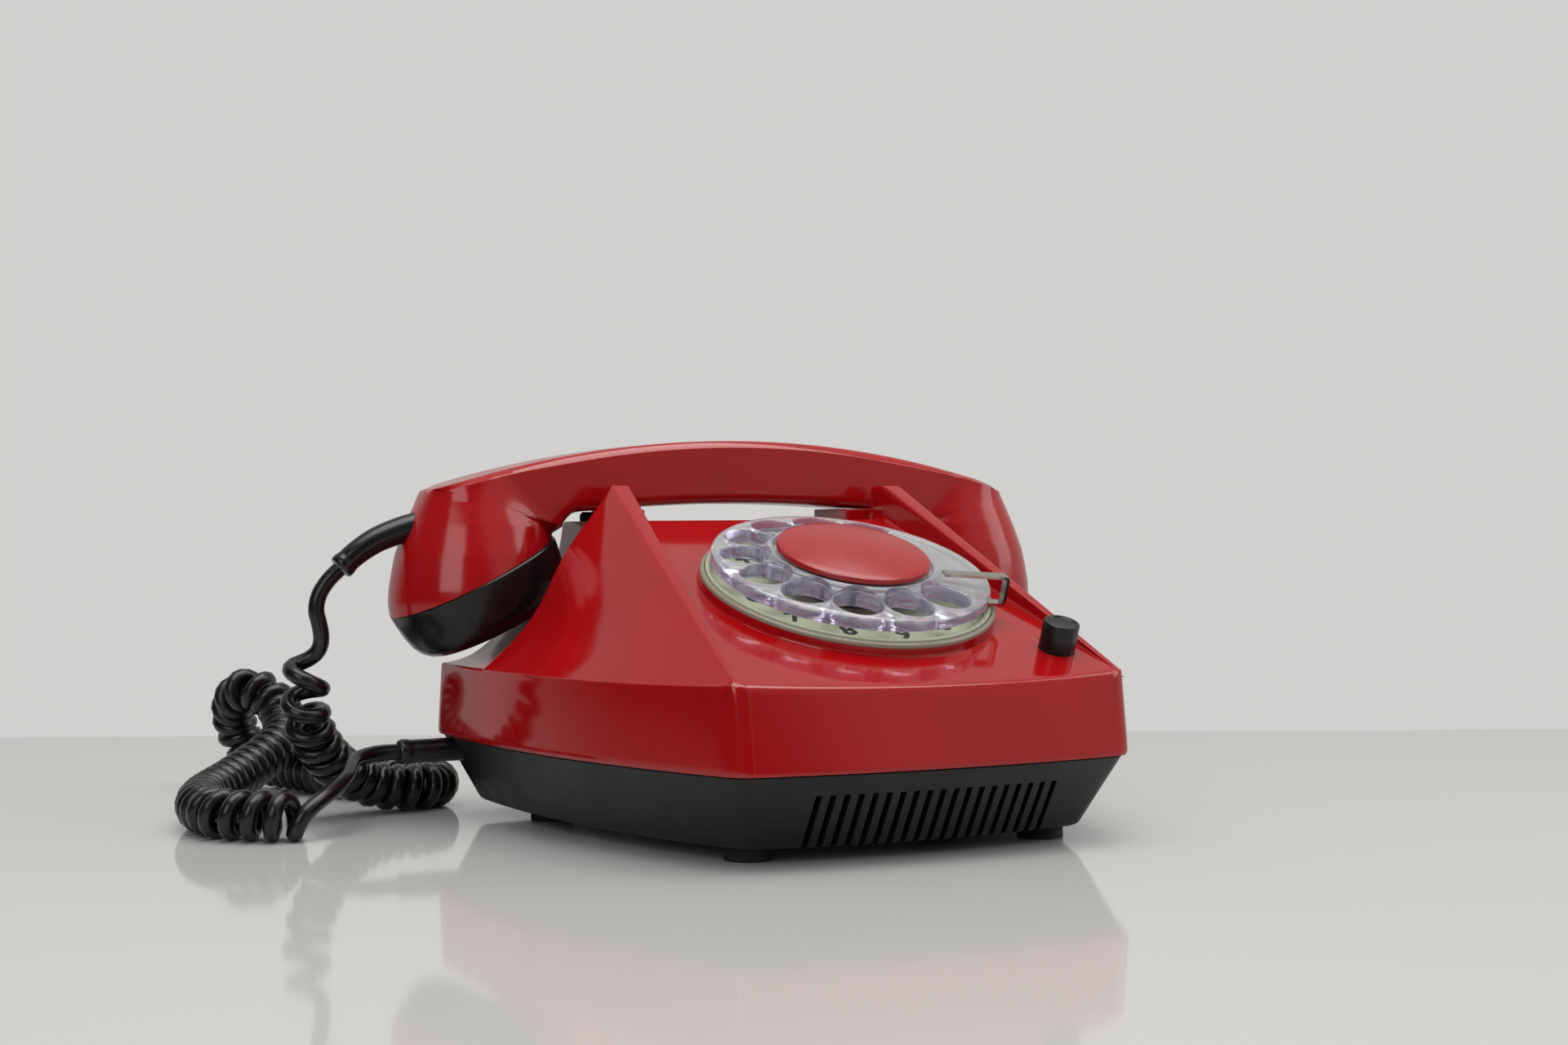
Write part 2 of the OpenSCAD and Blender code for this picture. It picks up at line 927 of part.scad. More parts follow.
// The handle, rounded in plan at both ends, with its top edges bevelled
module handle() {
    intersection() {
        side_extrude(grip_half_w, both_sides(handle_half()));
        union() {
            translate([-86, handset_y - grip_half_w, 60])
                cube([172, 2 * grip_half_w, 60]);
            for (side = [-1, 1])
                translate([side * 86, handset_y, 60])
                    cylinder(r = grip_half_w, h = 60);
        }
    }
}

module handset_shell() {
    color(red)
        difference() {
            intersection() {
                union() {
                    handle();
                    for (side = [-1, 1])
                        cup_dome(side);
                }
                // Under the top line and above the seams of both cups
                side_extrude(40, both_sides(concat([for (x = [0:12:96]) [x, top_z(x)]],
                    [[99, 97.4], [101.4, 93.6], [130, 93], [130, seam_z - cup_tan * (130 - cup_x)],
                    [30, seam_z + cup_tan * (cup_x - 30)], [0, seam_z + cup_tan * (cup_x - 30)]])));
            }
            for (side = [-1, 1])
                on_cup(side) {
                    translate([0, 0, -1])
                        cylinder(r = capsule_r + 0.5, h = 10.6);
                    cylinder(r = capsule_r - 3, h = 12);
                }
            side_extrude(9, both_sides(cavity_half()));
            translate([-115, handset_y, 87.7])
                rotate([0, 90, 0])
                    cylinder(r = 4.6, h = 23);
        }
}

module cup_layer(s, y, d) {
    translate([0, 0, -d])
        scale([s, y, 1])
            cylinder(r = 1, h = hair, $fn = 48);
}

module screw_cap(side, hole_rings) {
    color(black)
        on_cup(side)
            difference() {
                hull() {
                    cup_layer(cup_half_w + 2.4, cup_half_w, 0.11);
                    cup_layer(cup_half_w + 1.5, cup_half_w - 0.9, 7);
                    cup_layer(cup_half_w, cup_half_w - 2.3, 12);
                    cup_layer(cup_half_w - 2.6, cup_half_w - 4.6, cap_depth);
                }
                translate([0, 0, -cap_depth + 2.6])
                    cylinder(r = 19.4, h = 20);
                for (k = hole_rings)
                    for (i = [0:k[1] - 1])
                        rotate([0, 0, i * 360 / k[1]])
                            translate([k[0], 0, -cap_depth - 1])
                                cylinder(r = 1.1, h = 6);
            }
}

module ear_cap() {
    screw_cap(1, [[0, 1], [5, 6], [10, 12]]);
}

module mouth_cap() {
    screw_cap(-1, [[0, 1], [4.5, 6], [9, 10], [13.5, 16]]);
}

module capsule(side, body_r, body_h) {
    on_cup(side) {
        translate([0, 0, 0.2])
            cylinder(r = body_r, h = body_h);
        translate([0, 0, -cap_depth + 4])
            difference() {
                cylinder(r = 19, h = cap_depth - 3.8);
                translate([0, 0, -1])
                    cylinder(r = 17.6, h = 5);
            }
    }
}

module receiver_capsule() {
    color(steel)
        capsule(1, capsule_r, 9);
}

module transmitter_capsule() {
    color("#A8A28E")
        capsule(-1, capsule_r - 0.6, 8);
}

module capsule_contacts() {
    color(brass)
        for (side = [-1, 1])
            on_cup(side)
                translate([-6, -1.5, side > 0 ? 9.2 : 8.2])
                    cube([12, 3, side > 0 ? 2.8 : 3.8]);
}

// ---------- cord ----------

// The strain relief on the handset, curving down from the end of the cup
handset_sleeve_route = [[-101, 60.5, 88.2], [-105.7, 60.5, 86.9], [-110.3, 60.5, 85.3],
    [-114.6, 60.5, 83.3], [-119.8, 60.5, 79.8], [-124.3, 60.5, 75.7]];
handset_lead_route = [[-124.6, 60.5, 75.4], [-127.8, 60.5, 72.3], [-130.6, 60.5, 68], [-131.5, 60.5, 63.4],
    [-131, 60.5, 58], [-129.8, 60.5, 52], [-129, 60.5, 46]];
// The axis of the coiled part: it hangs, turns back on the table, lifts into a loop and comes round
coil_route = [[-133.6, 60.5, 45.2], [-134.8, 60.9, 40], [-134.4, 62.2, 34.4], [-132.4, 65, 28.2],
    [-128, 69.3, 21.4], [-121.6, 74.4, 15.2], [-114, 78.6, 10.6], [-105, 80, 7.9], [-96.6, 80.4, 7.2],
    [-89.4, 84, 7.2], [-86.8, 91, 7.2], [-89.4, 98, 7.2], [-96, 104, 7.2], [-103, 112, 7.2],
    [-109, 123, 7.2], [-113, 135, 7.2], [-117, 148, 7.2], [-122, 161, 7.4], [-127, 171, 9.6],
    [-130.8, 175, 16.4], [-133.6, 172, 24.2], [-134, 165, 30.6], [-130.6, 158.4, 33.6],
    [-125.8, 155, 31.2], [-122.4, 151, 26.6], [-122.4, 144, 21.8], [-125.6, 134.4, 18.2],
    [-132.6, 124, 14.8], [-141.6, 113, 11.4], [-150.6, 100, 9], [-158.4, 86.4, 7.6],
    [-163.4, 72, 7.2], [-165, 58, 7.2], [-162, 45, 7.2], [-155, 37, 7.2], [-147, 32, 7.2],
    [-140.6, 28.6, 7.2]];
base_lead_route = [[-140.1, 28.3, 10.8], [-136.6, 27.2, 11.2], [-133.6, 30.2, 12.2], [-132.6, 35, 13],
    [-130.6, 42, 14.6], [-126.6, 50, 17], [-120.8, 57.6, 19], [-113.6, 62.6, 20.1], [-106.4, 63.4, 20.2]];
base_sleeve_route = [[-106.2, 63.4, 20.2], [-94, 63.4, 20.2], [-82, 63.4, 20.2], [-70.2, 63.4, 20.2]];

function unit(v) = v / norm(v);
function curve_at(a, b, c, d, t) = 0.5 * (2 * b + (c - a) * t + (2 * a - 5 * b + 4 * c - d) * t * t
    + (3 * b - a - 3 * c + d) * t * t * t);
function smooth(p, n) = concat([for (i = [0:len(p) - 2], j = [0:n - 1])
    curve_at(p[max(i - 1, 0)], p[i], p[i + 1], p[min(i + 2, len(p) - 1)], j / n)], [p[len(p) - 1]]);
function along(q, i) = unit(q[min(i + 1, len(q) - 1)] - q[max(i - 1, 0)]);
function square_to(u, t) = unit(u - (u * t) * t);
function sides(q, i, u) = i >= len(q) ? [] :
    let (v = square_to(u, along(q, i))) concat([v], sides(q, i + 1, v));

// A tube along a route, its radius going evenly from r1 to r2
module tube(route, n, r1, r2, m) {
    q = smooth(route, n);
    u = sides(q, 0, [0.3, 1, 0.2]);
    last = len(q) - 1;
    points = [for (i = [0:last]) let (v = cross(along(q, i), u[i]), r = r1 + (r2 - r1) * i / last)
        for (k = [0:m - 1]) q[i] + r * (cos(k * 360 / m) * u[i] + sin(k * 360 / m) * v)];
    walls = [for (i = [0:last - 1], k = [0:m - 1]) let (a = i * m + k, b = i * m + (k + 1) % m)
        each [[a, a + m, b + m], [a, b + m, b]]];
    polyhedron(points = points,
        faces = concat(walls, [[for (k = [0:m - 1]) k]], [[for (k = [m - 1:-1:0]) last * m + k]]));
}

module handset_sleeve() {
    color(black)
        tube(handset_sleeve_route, 2, 3.9, 3.2, 12);
}

module handset_lead() {
    color(black)
        tube(handset_lead_route, 1, cord_d / 2, cord_d / 2, 10);
}

module coil_cord() {
    color(black)
        tube(coil_route, 2, coil_d / 2, coil_d / 2, 12);
}

module base_lead() {
    color(black)
        tube(base_lead_route, 1, cord_d / 2, cord_d / 2, 10);
}

module base_sleeve() {
    color(black)
        tube(base_sleeve_route, 1, 3, 3.4, 12);
}

base_shell();
feet();
housing();
housing_screws();
line_grommet();
cord_clamp();
circuit_board();
board_screws();
speech_transformer();
capacitors();
terminal_block();
ringer_bracket();
gong_left();
gong_right();
gong_screws();
ringer_coils();
clapper();
hook_plungers();
hook_bar();
hook_bracket();
hook_contacts();
dial_bezel();
number_ring();
finger_stop();
dial_frame();
dial_bearing();
dial_back_plate();
dial_screws();
dial_shaft();
main_gear();
spring_drum();
finger_wheel();
centre_cap();
pulse_pinion();
pulse_contacts();
governor_bracket();
governor_rotor();
button_collar();
button_cap();
button_spring();
button_switch();
handset_shell();
ear_cap();
mouth_cap();
receiver_capsule();
transmitter_capsule();
capsule_contacts();
handset_sleeve();
handset_lead();
coil_cord();
base_lead();
base_sleeve();
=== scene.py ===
import json
import math

import bmesh
import bpy
import numpy as np
from mathutils import Matrix, Vector


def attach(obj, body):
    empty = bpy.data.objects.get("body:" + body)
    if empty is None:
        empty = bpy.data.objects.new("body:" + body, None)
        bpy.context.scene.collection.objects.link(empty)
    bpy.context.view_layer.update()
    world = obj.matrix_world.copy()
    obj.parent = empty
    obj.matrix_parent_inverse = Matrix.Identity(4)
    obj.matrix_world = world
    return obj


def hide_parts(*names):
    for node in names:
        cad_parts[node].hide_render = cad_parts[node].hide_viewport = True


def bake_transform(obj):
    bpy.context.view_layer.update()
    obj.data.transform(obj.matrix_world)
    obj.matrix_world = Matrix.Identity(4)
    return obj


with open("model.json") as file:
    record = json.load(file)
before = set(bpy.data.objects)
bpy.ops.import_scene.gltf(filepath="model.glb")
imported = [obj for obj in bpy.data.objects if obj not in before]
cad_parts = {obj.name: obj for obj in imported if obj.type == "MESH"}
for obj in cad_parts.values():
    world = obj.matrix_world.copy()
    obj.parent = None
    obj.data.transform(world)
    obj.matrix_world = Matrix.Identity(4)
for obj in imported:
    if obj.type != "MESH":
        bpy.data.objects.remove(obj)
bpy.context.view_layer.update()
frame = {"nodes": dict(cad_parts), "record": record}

bl_info = {
    "name": "Rotary Desk Telephone",
    "version": (1, 0, 0),
    "blender": (4, 5, 0),
    "location": "View3D > Sidebar > Telephone",
    "description": "Builds the visual pieces of a corded rotary-dial desk telephone over its CAD frame",
    "category": "Object",
}

# All shapes are drawn in millimetres in the CAD frame and written in metres.
MM = 0.001

# Dimensions that the CAD states too
TILT = math.radians(20.9)
FACE_Y, FACE_Z = -77.4, 47.3
DIAL_Y = -24.8
DIAL_Z = FACE_Z + (DIAL_Y - FACE_Y) * math.tan(TILT)
RIDGE_Y, TOWER_Z, EAR_Z, CRADLE_Z = 33.4, 89.2, 100.0, 84.0
EAR_IN, EAR_OUT = 43.0, 48.9
BAND_Z, LEDGE_Z = 24.5, 46.2
FRONT_HALF, REAR_HALF, FRONT_Y, REAR_Y, FRONT_BOW, REAR_BOW = 59.1, 91.9, 80.1, 74.4, 5.6, 3.6
HANDSET_Y, CUP_X, SEAM_Z, CUP_TILT = 60.5, 83.8, 72.9, math.radians(26.4)
HOLE_RING_R, HOLE_R, HOLE_STEP, HOLE_FIRST = 31.0, 6.8, 27.3, -57.5
BUTTON_U, BUTTON_V, BUTTON_R, BUTTON_H = 46.2, -40.6, 5.1, 8.4


# ---------------------------------------------------------------- helpers

def linear_rgb(hex_code):
    """Linear RGB of an sRGB hex colour."""
    values = [int(hex_code[i:i + 2], 16) / 255 for i in (1, 3, 5)]
    return tuple(v / 12.92 if v <= 0.04045 else ((v + 0.055) / 1.055) ** 2.4 for v in values)


def rgba(hex_code):
    """The same with full alpha, for a colour socket."""
    return (*linear_rgb(hex_code), 1.0)


def add_node(tree, kind, inputs=None, links=None, **props):
    """Add a node, set its properties and sockets, and link sockets to others' outputs."""
    node = tree.nodes.new(kind)
    for key, value in props.items():
        setattr(node, key, value)
    for key, value in (inputs or {}).items():
        node.inputs[key].default_value = value
    for key, source in (links or {}).items():
        tree.links.new(source, node.inputs[key])
    return node


def dial_frame():
    """Matrix from the dial's own millimetres to the CAD frame in millimetres."""
    return Matrix.Translation((0, DIAL_Y, DIAL_Z)) @ Matrix.Rotation(TILT, 4, 'X')


def cup_frame(side):
    """Matrix from a handset cup's own millimetres, its seam at zero, to the CAD frame in millimetres."""
    return (Matrix.Translation((side * CUP_X, HANDSET_Y, SEAM_Z))
            @ Matrix.Rotation(side * CUP_TILT, 4, 'Y'))


def new_object(name, mesh):
    """Link a new object of that name, in place of an older one."""
    old = bpy.data.objects.get(name)
    if old is not None:
        bpy.data.objects.remove(old, do_unlink=True)
    piece = bpy.data.objects.new(name, mesh)
    bpy.context.scene.collection.objects.link(piece)
    return piece


def solid(name, verts, faces, slots, matrix=None, sharp=None):
    """A smooth-shaded mesh object from points in millimetres; slots are material names."""
    mesh = bpy.data.meshes.new(name)
    points = [Vector(v) for v in verts]
    if matrix is not None:
        points = [matrix @ p for p in points]
    mesh.from_pydata([p * MM for p in points], [], faces)
    mesh.polygons.foreach_set("use_smooth", [True] * len(mesh.polygons))
    piece = new_object(name, mesh)
    for slot in slots:
        mesh.materials.append(bpy.data.materials[slot])
    tidy(piece)
    if sharp:
        mark_sharp(piece, sharp)
    return piece


def tidy(piece):
    """Merge doubles and turn the normals outwards."""
    bm = bmesh.new()
    bm.from_mesh(piece.data)
    bmesh.ops.remove_doubles(bm, verts=bm.verts, dist=1e-6)
    bmesh.ops.dissolve_degenerate(bm, edges=bm.edges, dist=1e-7)
    bmesh.ops.recalc_face_normals(bm, faces=bm.faces)
    bm.to_mesh(piece.data)
    bm.free()


def mark_sharp(piece, degrees):
    """Sharpen the edges over an angle, so that flat faces beside a step stay flat."""
    limit = math.radians(degrees)
    bm = bmesh.new()
    bm.from_mesh(piece.data)
    for edge in bm.edges:
        edge.smooth = len(edge.link_faces) == 2 and edge.calc_face_angle(0) < limit
    bm.to_mesh(piece.data)
    bm.free()


def flatten(piece):
    """Replace a piece's mesh by what its modifiers make of it, and drop them."""
    graph = bpy.context.evaluated_depsgraph_get()
    mesh = bpy.data.meshes.new_from_object(piece.evaluated_get(graph), depsgraph=graph)
    old = piece.data
    piece.modifiers.clear()
    piece.data = mesh
    mesh.name = piece.name
    bpy.data.meshes.remove(old)


def subdivide(piece, levels):
    """Round a cage off by subdivision."""
    mod = piece.modifiers.new("smooth", 'SUBSURF')
    mod.levels = mod.render_levels = levels
    flatten(piece)


def give_wall(piece, thickness, even=False):
    """Give a skin a wall on its inner side, in millimetres."""
    wall = piece.modifiers.new("wall", 'SOLIDIFY')
    wall.thickness, wall.offset = thickness * MM, -1
    wall.use_quality_normals = even
    flatten(piece)


def joined(name, meshes, material):
    """One object made of several meshes, which are used up."""
    bm = bmesh.new()
    for part in meshes:
        bm.from_mesh(part)
        bpy.data.meshes.remove(part)
    mesh = bpy.data.meshes.new(name)
    bm.to_mesh(mesh)
    bm.free()
    mesh.materials.clear()
    mesh.materials.append(bpy.data.materials[material])
    return new_object(name, mesh)


def turned(outline, count, closed):
    """Points and faces of rings (half length, half width, height) about Z; a zero ring is a pole."""
    verts, index = [], []
    for a, b, w in outline:
        if a < 1e-6:
            index.append([len(verts)] * count)
            verts.append((0, 0, w))
        else:
            index.append(list(range(len(verts), len(verts) + count)))
            verts += [(a * math.cos(t), b * math.sin(t), w)
                      for t in (2 * math.pi * k / count for k in range(count))]
    faces = []
    for low, high in zip(index, index[1:] + (index[:1] if closed else [])):
        for k in range(count):
            n = (k + 1) % count
            face = list(dict.fromkeys([low[k], low[n], high[n], high[k]]))
            if len(face) > 2:
                faces.append(face)
    return verts, faces


def lathe(name, profile, slots, matrix, count=96, sharp=30, closed=True):
    """Turn an outline of (radius, height) points about the local Z axis."""
    verts, faces = turned([(r, r, w) for r, w in profile], count, closed)
    return solid(name, verts, faces, slots, matrix, sharp)


def rounded(points, radii, steps=4):
    """Round the corners of a closed outline of (a, b) points, each by its own radius."""
    out = []
    n = len(points)
    for i, r in enumerate(radii):
        p0, p, p1 = Vector(points[i - 1]), Vector(points[i]), Vector(points[(i + 1) % n])
        if r <= 0:
            out.append(tuple(p))
            continue
        a, b = p0 - p, p1 - p
        reach = min(r, a.length * 0.45, b.length * 0.45)
        start, end = p + a.normalized() * reach, p + b.normalized() * reach
        for k in range(steps + 1):
            t = k / steps
            out.append(tuple((1 - t) ** 2 * start + 2 * t * (1 - t) * p + t * t * end))
    return out


def cut(piece, cutter):
    """Cut one solid from another and keep the result as a plain mesh."""
    mod = piece.modifiers.new("cut", 'BOOLEAN')
    mod.operation = 'DIFFERENCE'
    mod.solver = 'EXACT'
    mod.object = cutter
    flatten(piece)
    bpy.data.objects.remove(cutter, do_unlink=True)


def catmull(points, steps):
    """A smooth curve through the points, with so many steps from one to the next."""
    p = np.array(points, float)
    out = []
    for i in range(len(p) - 1):
        a, b, c, d = p[max(i - 1, 0)], p[i], p[i + 1], p[min(i + 2, len(p) - 1)]
        for j in range(steps):
            t = j / steps
            out.append(0.5 * (2 * b + (c - a) * t + (2 * a - 5 * b + 4 * c - d) * t * t
                              + (3 * b - a - 3 * c + d) * t ** 3))
    out.append(p[-1])
    return np.array(out)


def evenly(curve, step):
    """The same curve with points at an even distance, and its length."""
    seg = np.linalg.norm(np.diff(curve, axis=0), axis=1)
    s = np.concatenate([[0], np.cumsum(seg)])
    n = max(2, int(round(s[-1] / step)) + 1)
    at = np.linspace(0, s[-1], n)
    return np.stack([np.interp(at, s, curve[:, k]) for k in range(3)], axis=1), s[-1]


def frames(curve, up):
    """Tangents and two normals along a curve, without twist."""
    t = np.gradient(curve, axis=0)
    t /= np.linalg.norm(t, axis=1)[:, None]
    u = np.zeros_like(t)
    v = np.array(up, float)
    for i in range(len(t)):
        v = v - v.dot(t[i]) * t[i]
        v /= np.linalg.norm(v)
        u[i] = v
    return t, u, np.cross(t, u)


def tube(name, curve, radii, sides, slots, up=(0.3, 1.0, 0.2)):
    """A closed tube of round rings along a curve in millimetres."""
    _, u, v = frames(curve, up)
    radii = np.broadcast_to(np.array(radii, float), (len(curve),))
    angles = np.linspace(0, 2 * np.pi, sides, endpoint=False)
    rings = (curve[:, None, :] + radii[:, None, None]
             * (np.cos(angles)[None, :, None] * u[:, None, :]
                + np.sin(angles)[None, :, None] * v[:, None, :]))
    verts = rings.reshape(-1, 3).tolist()
    n = len(curve)
    faces = [(i * sides + k, i * sides + (k + 1) % sides,
              (i + 1) * sides + (k + 1) % sides, (i + 1) * sides + k)
             for i in range(n - 1) for k in range(sides)]
    faces.append(tuple(range(sides - 1, -1, -1)))
    faces.append(tuple((n - 1) * sides + k for k in range(sides)))
    return solid(name, verts, faces, slots, sharp=50)


# ---------------------------------------------------------------- materials

# Sizes of the surface patterns in millimetres; the grains are coarser than real ones, so that they show
MOTTLE, SMEAR, SWELL, GRAIN, POLISH, DRAWN, HAZE = 35, 12, 28, 0.9, 6, 0.6, 8
CLOUD = 250


def start_material(name):
    """A fresh material with its node tree and its shader."""
    old = bpy.data.materials.get(name)
    if old is not None:
        bpy.data.materials.remove(old)
    mat = bpy.data.materials.new(name)
    mat.use_nodes = True
    tree = mat.node_tree
    return mat, tree, tree.nodes["Principled BSDF"]


def surface_noise(tree, size, detail=3.0, rough=0.5):
    """Noise on Object coordinates, with spots of a size in millimetres."""
    coords = add_node(tree, "ShaderNodeTexCoord")
    return add_node(tree, "ShaderNodeTexNoise",
                    {"Scale": 1 / (size * MM), "Detail": detail, "Roughness": rough},
                    {"Vector": coords.outputs["Object"]})


def drift_colour(tree, shader, noise, base, dark):
    """Let the colour drift between two tones with a noise."""
    mix = add_node(tree, "ShaderNodeMix", {"A": rgba(base), "B": rgba(dark)},
                   {"Factor": noise.outputs["Fac"]}, data_type='RGBA')
    tree.links.new(mix.outputs[2], shader.inputs["Base Color"])


def drift_gloss(tree, shader, noise, low, high, start=0.3, end=0.7):
    """Let the roughness drift between two values with a noise, as smears do."""
    rough = add_node(tree, "ShaderNodeMapRange",
                     {"From Min": start, "From Max": end, "To Min": low, "To Max": high},
                     {"Value": noise.outputs["Fac"]})
    tree.links.new(rough.outputs["Result"], shader.inputs["Roughness"])


def plastic(name, base, dark, rough_low, rough_high, ior=1.5, wave=0.02, grain=0.0):
    """A moulded plastic: a slight mottle in the colour, smears in the gloss, faint sink waves."""
    mat, tree, shader = start_material(name)
    drift_colour(tree, shader, surface_noise(tree, MOTTLE), base, dark)
    drift_gloss(tree, shader, surface_noise(tree, SMEAR, 5.0, 0.6), rough_low, rough_high)
    swell = surface_noise(tree, SWELL, 1.0)
    bump = add_node(tree, "ShaderNodeBump", {"Strength": 1.0, "Distance": wave * MM},
                    {"Height": swell.outputs["Fac"]})
    if grain:
        fine = surface_noise(tree, GRAIN, 2.0)
        bump = add_node(tree, "ShaderNodeBump", {"Strength": 1.0, "Distance": grain * MM},
                        {"Height": fine.outputs["Fac"], "Normal": bump.outputs["Normal"]})
    tree.links.new(bump.outputs["Normal"], shader.inputs["Normal"])
    shader.inputs["IOR"].default_value = ior
    return mat


def metal(name, base, dark, rough_low, rough_high, lines=0.0):
    """A metal with a drifting polish; lines adds a fine drawn grain."""
    mat, tree, shader = start_material(name)
    drift = surface_noise(tree, POLISH, 4.0)
    drift_colour(tree, shader, drift, base, dark)
    drift_gloss(tree, shader, drift, rough_low, rough_high)
    shader.inputs["Metallic"].default_value = 1.0
    if lines:
        fine = surface_noise(tree, DRAWN, 2.0)
        bump = add_node(tree, "ShaderNodeBump", {"Strength": 0.5, "Distance": lines * MM},
                        {"Height": fine.outputs["Fac"]})
        tree.links.new(bump.outputs["Normal"], shader.inputs["Normal"])
    return mat


def acrylic(name, tint, clear, rough_low, rough_high):
    """Moulded acrylic, hazed a little by age; clear is the share of light that goes through."""
    mat, tree, shader = start_material(name)
    shader.inputs["Base Color"].default_value = rgba(tint)
    shader.inputs["Transmission Weight"].default_value = clear
    shader.inputs["IOR"].default_value = 1.49
    drift_gloss(tree, shader, surface_noise(tree, HAZE, 4.0), rough_low, rough_high, 0.35, 0.75)
    return mat


def make_materials(looks):
    """Every finish: what it is made of, how, and what that gives the eye."""
    # ABS, injection-moulded and polished: deep red, a soft sheen, a few smears
    plastic("red_abs_moulded", looks.red, looks.red_dark, 0.06, 0.13, 1.53, 0.02)
    # The same ABS, buffed to a softer sheen
    plastic("red_abs_buffed", looks.red, looks.red_dark, 0.24, 0.32, 1.53, 0.01)
    # The same ABS on the handset, duller from handling
    plastic("red_abs_handled", looks.red, looks.red_dark, 0.09, 0.2, 1.53, 0.02)
    # Black ABS, moulded in a finely blasted tool: a satin face
    plastic("black_abs_satin", looks.black, looks.black_dark, 0.36, 0.5, 1.4, 0.015, 0.004)
    # Black ABS of the screw caps and the button, moulded and rubbed smooth by use
    plastic("black_cap_moulded", "#111214", "#0B0C0D", 0.2, 0.34, 1.42, 0.015)
    # Plasticised PVC, extruded round the cord's wires: nearly black, a soft sheen
    plastic("pvc_cord_extruded", "#0F0F12", "#0A0A0C", 0.2, 0.32, 1.48, 0.01)
    # Soft PVC, moulded over the cord's ends: as black, and as soft a sheen
    plastic("pvc_sleeve_moulded", "#111114", "#0A0A0C", 0.2, 0.32, 1.5, 0.03)
    # Moulded rubber: matt and dark
    plastic("rubber_moulded", "#151515", "#0E0E0E", 0.6, 0.75, 1.5, 0.02, 0.01)
    # Urea resin of the number ring: a pale grey-green, darkened all over to paint the shade that the finger
    # wheel casts on it
    plastic("urea_ring_moulded", "#A9AE94", "#9EA389", 0.22, 0.34, 1.5, 0.01)
    # A dark grey matt disc inside the ring of digits: painted shade in the gap under the finger wheel
    plastic("urea_disc_dark", "#4A4842", "#3A3934", 0.3, 0.45, 1.5, 0.01)
    # Polystyrene of the rim, moulded: grey-brown with a soft sheen
    plastic("bezel_moulded", "#8C8576", "#7A7365", 0.2, 0.32, 1.5, 0.01)
    # Printing ink, baked on the ring: flat black
    plastic("ink_black_baked", "#17191C", "#101114", 0.35, 0.5, 1.5, 0.0)
    # Nylon parts inside, moulded: cream, nearly matt
    plastic("nylon_moulded", "#D6D0BE", "#C6C0AD", 0.4, 0.55, 1.5, 0.01)
    # Phenolic paper board, pressed: brown and matt
    plastic("phenolic_board_pressed", "#8A5F32", "#6F4A26", 0.45, 0.6, 1.5, 0.02, 0.02)
    # Acrylic of the finger wheel, moulded: clear, with the slight haze of use; its faint violet tint is a
    # painted reflection
    acrylic("acrylic_clear_moulded", looks.acrylic, 0.83, 0.06, 0.13)
    # The same acrylic on rims and hole walls, tinted a faint violet: a painted reflection
    acrylic("acrylic_edge_polished", "#CFCBE6", 0.8, 0.08, 0.16)
    # Steel strip, nickel-plated and polished: a warm bright grey
    metal("nickel_plated_strip", "#C9C6BC", "#B4B0A5", 0.12, 0.22)
    # Steel, zinc-plated: a grey sheen with a fine drawn grain
    metal("zinc_plated_steel", "#A9ABAE", "#8F9195", 0.32, 0.45, 0.004)
    # Brass, turned: yellow, with fine tool lines
    metal("brass_turned", "#C29A52", "#A57E3C", 0.26, 0.38, 0.003)


# The finish for each CAD material slot
SLOT_FINISH = {
    "red_plastic": "red_abs_moulded", "black_plastic": "black_abs_satin",
    "black_rubber": "rubber_moulded", "cream_plastic": "nylon_moulded",
    "bezel": "bezel_moulded", "clear_plastic": "acrylic_clear_moulded",
    "chrome": "nickel_plated_strip", "steel": "zinc_plated_steel", "brass": "brass_turned",
    "board": "phenolic_board_pressed", "cord_pvc": "pvc_cord_extruded",
}
NODE_FINISH = {"number_ring": "urea_ring_moulded", "ear_cap": "black_cap_moulded",
               "mouth_cap": "black_cap_moulded", "handset_shell": "red_abs_handled"}


def dress_frame():
    """Give every CAD node its finish."""
    for part in frame["record"]["subparts"]:
        node = part["node"]
        finish = NODE_FINISH.get(node, SLOT_FINISH[part["material_slot"]])
        obj = frame["nodes"][node]
        if not obj.material_slots:
            obj.data.materials.append(None)
        for slot in obj.material_slots:
            slot.material = bpy.data.materials[finish]


# ---------------------------------------------------------------- stage

# Metres and degrees
CAMERA_AT = (-0.28233, -0.57753, 0.0894)
CAMERA_YAW, CAMERA_PITCH, CAMERA_ROLL = 25.436, 0.077, -0.305
TABLE_DEPTH, TABLE_BEHIND, TABLE_HALF = 0.911, 0.9, 1.6
DARK_SIDE = (-0.85, -0.5, -0.15)


def camera_axes():
    """The camera's right, up and ahead directions."""
    yaw, pitch, roll = (math.radians(a) for a in (CAMERA_YAW, CAMERA_PITCH, CAMERA_ROLL))
    ahead = Vector((math.sin(yaw) * math.cos(pitch), math.cos(yaw) * math.cos(pitch), -math.sin(pitch)))
    right = Vector((math.cos(yaw), -math.sin(yaw), 0))
    up = right.cross(ahead)
    right = right * math.cos(roll) + up * math.sin(roll)
    return right, right.cross(ahead), ahead


def make_camera():
    """A camera with a normal lens, low and to the left of the dial."""
    data = bpy.data.cameras.new("camera")
    data.lens, data.sensor_width = 50, 36
    data.clip_start, data.clip_end = 0.01, 20
    camera = bpy.data.objects.new("camera", data)
    bpy.context.scene.collection.objects.link(camera)
    right, up, ahead = camera_axes()
    turn = Matrix((right, up, -ahead)).transposed().to_4x4()
    turn.translation = Vector(CAMERA_AT)
    camera.matrix_world = turn
    bpy.context.scene.camera = camera


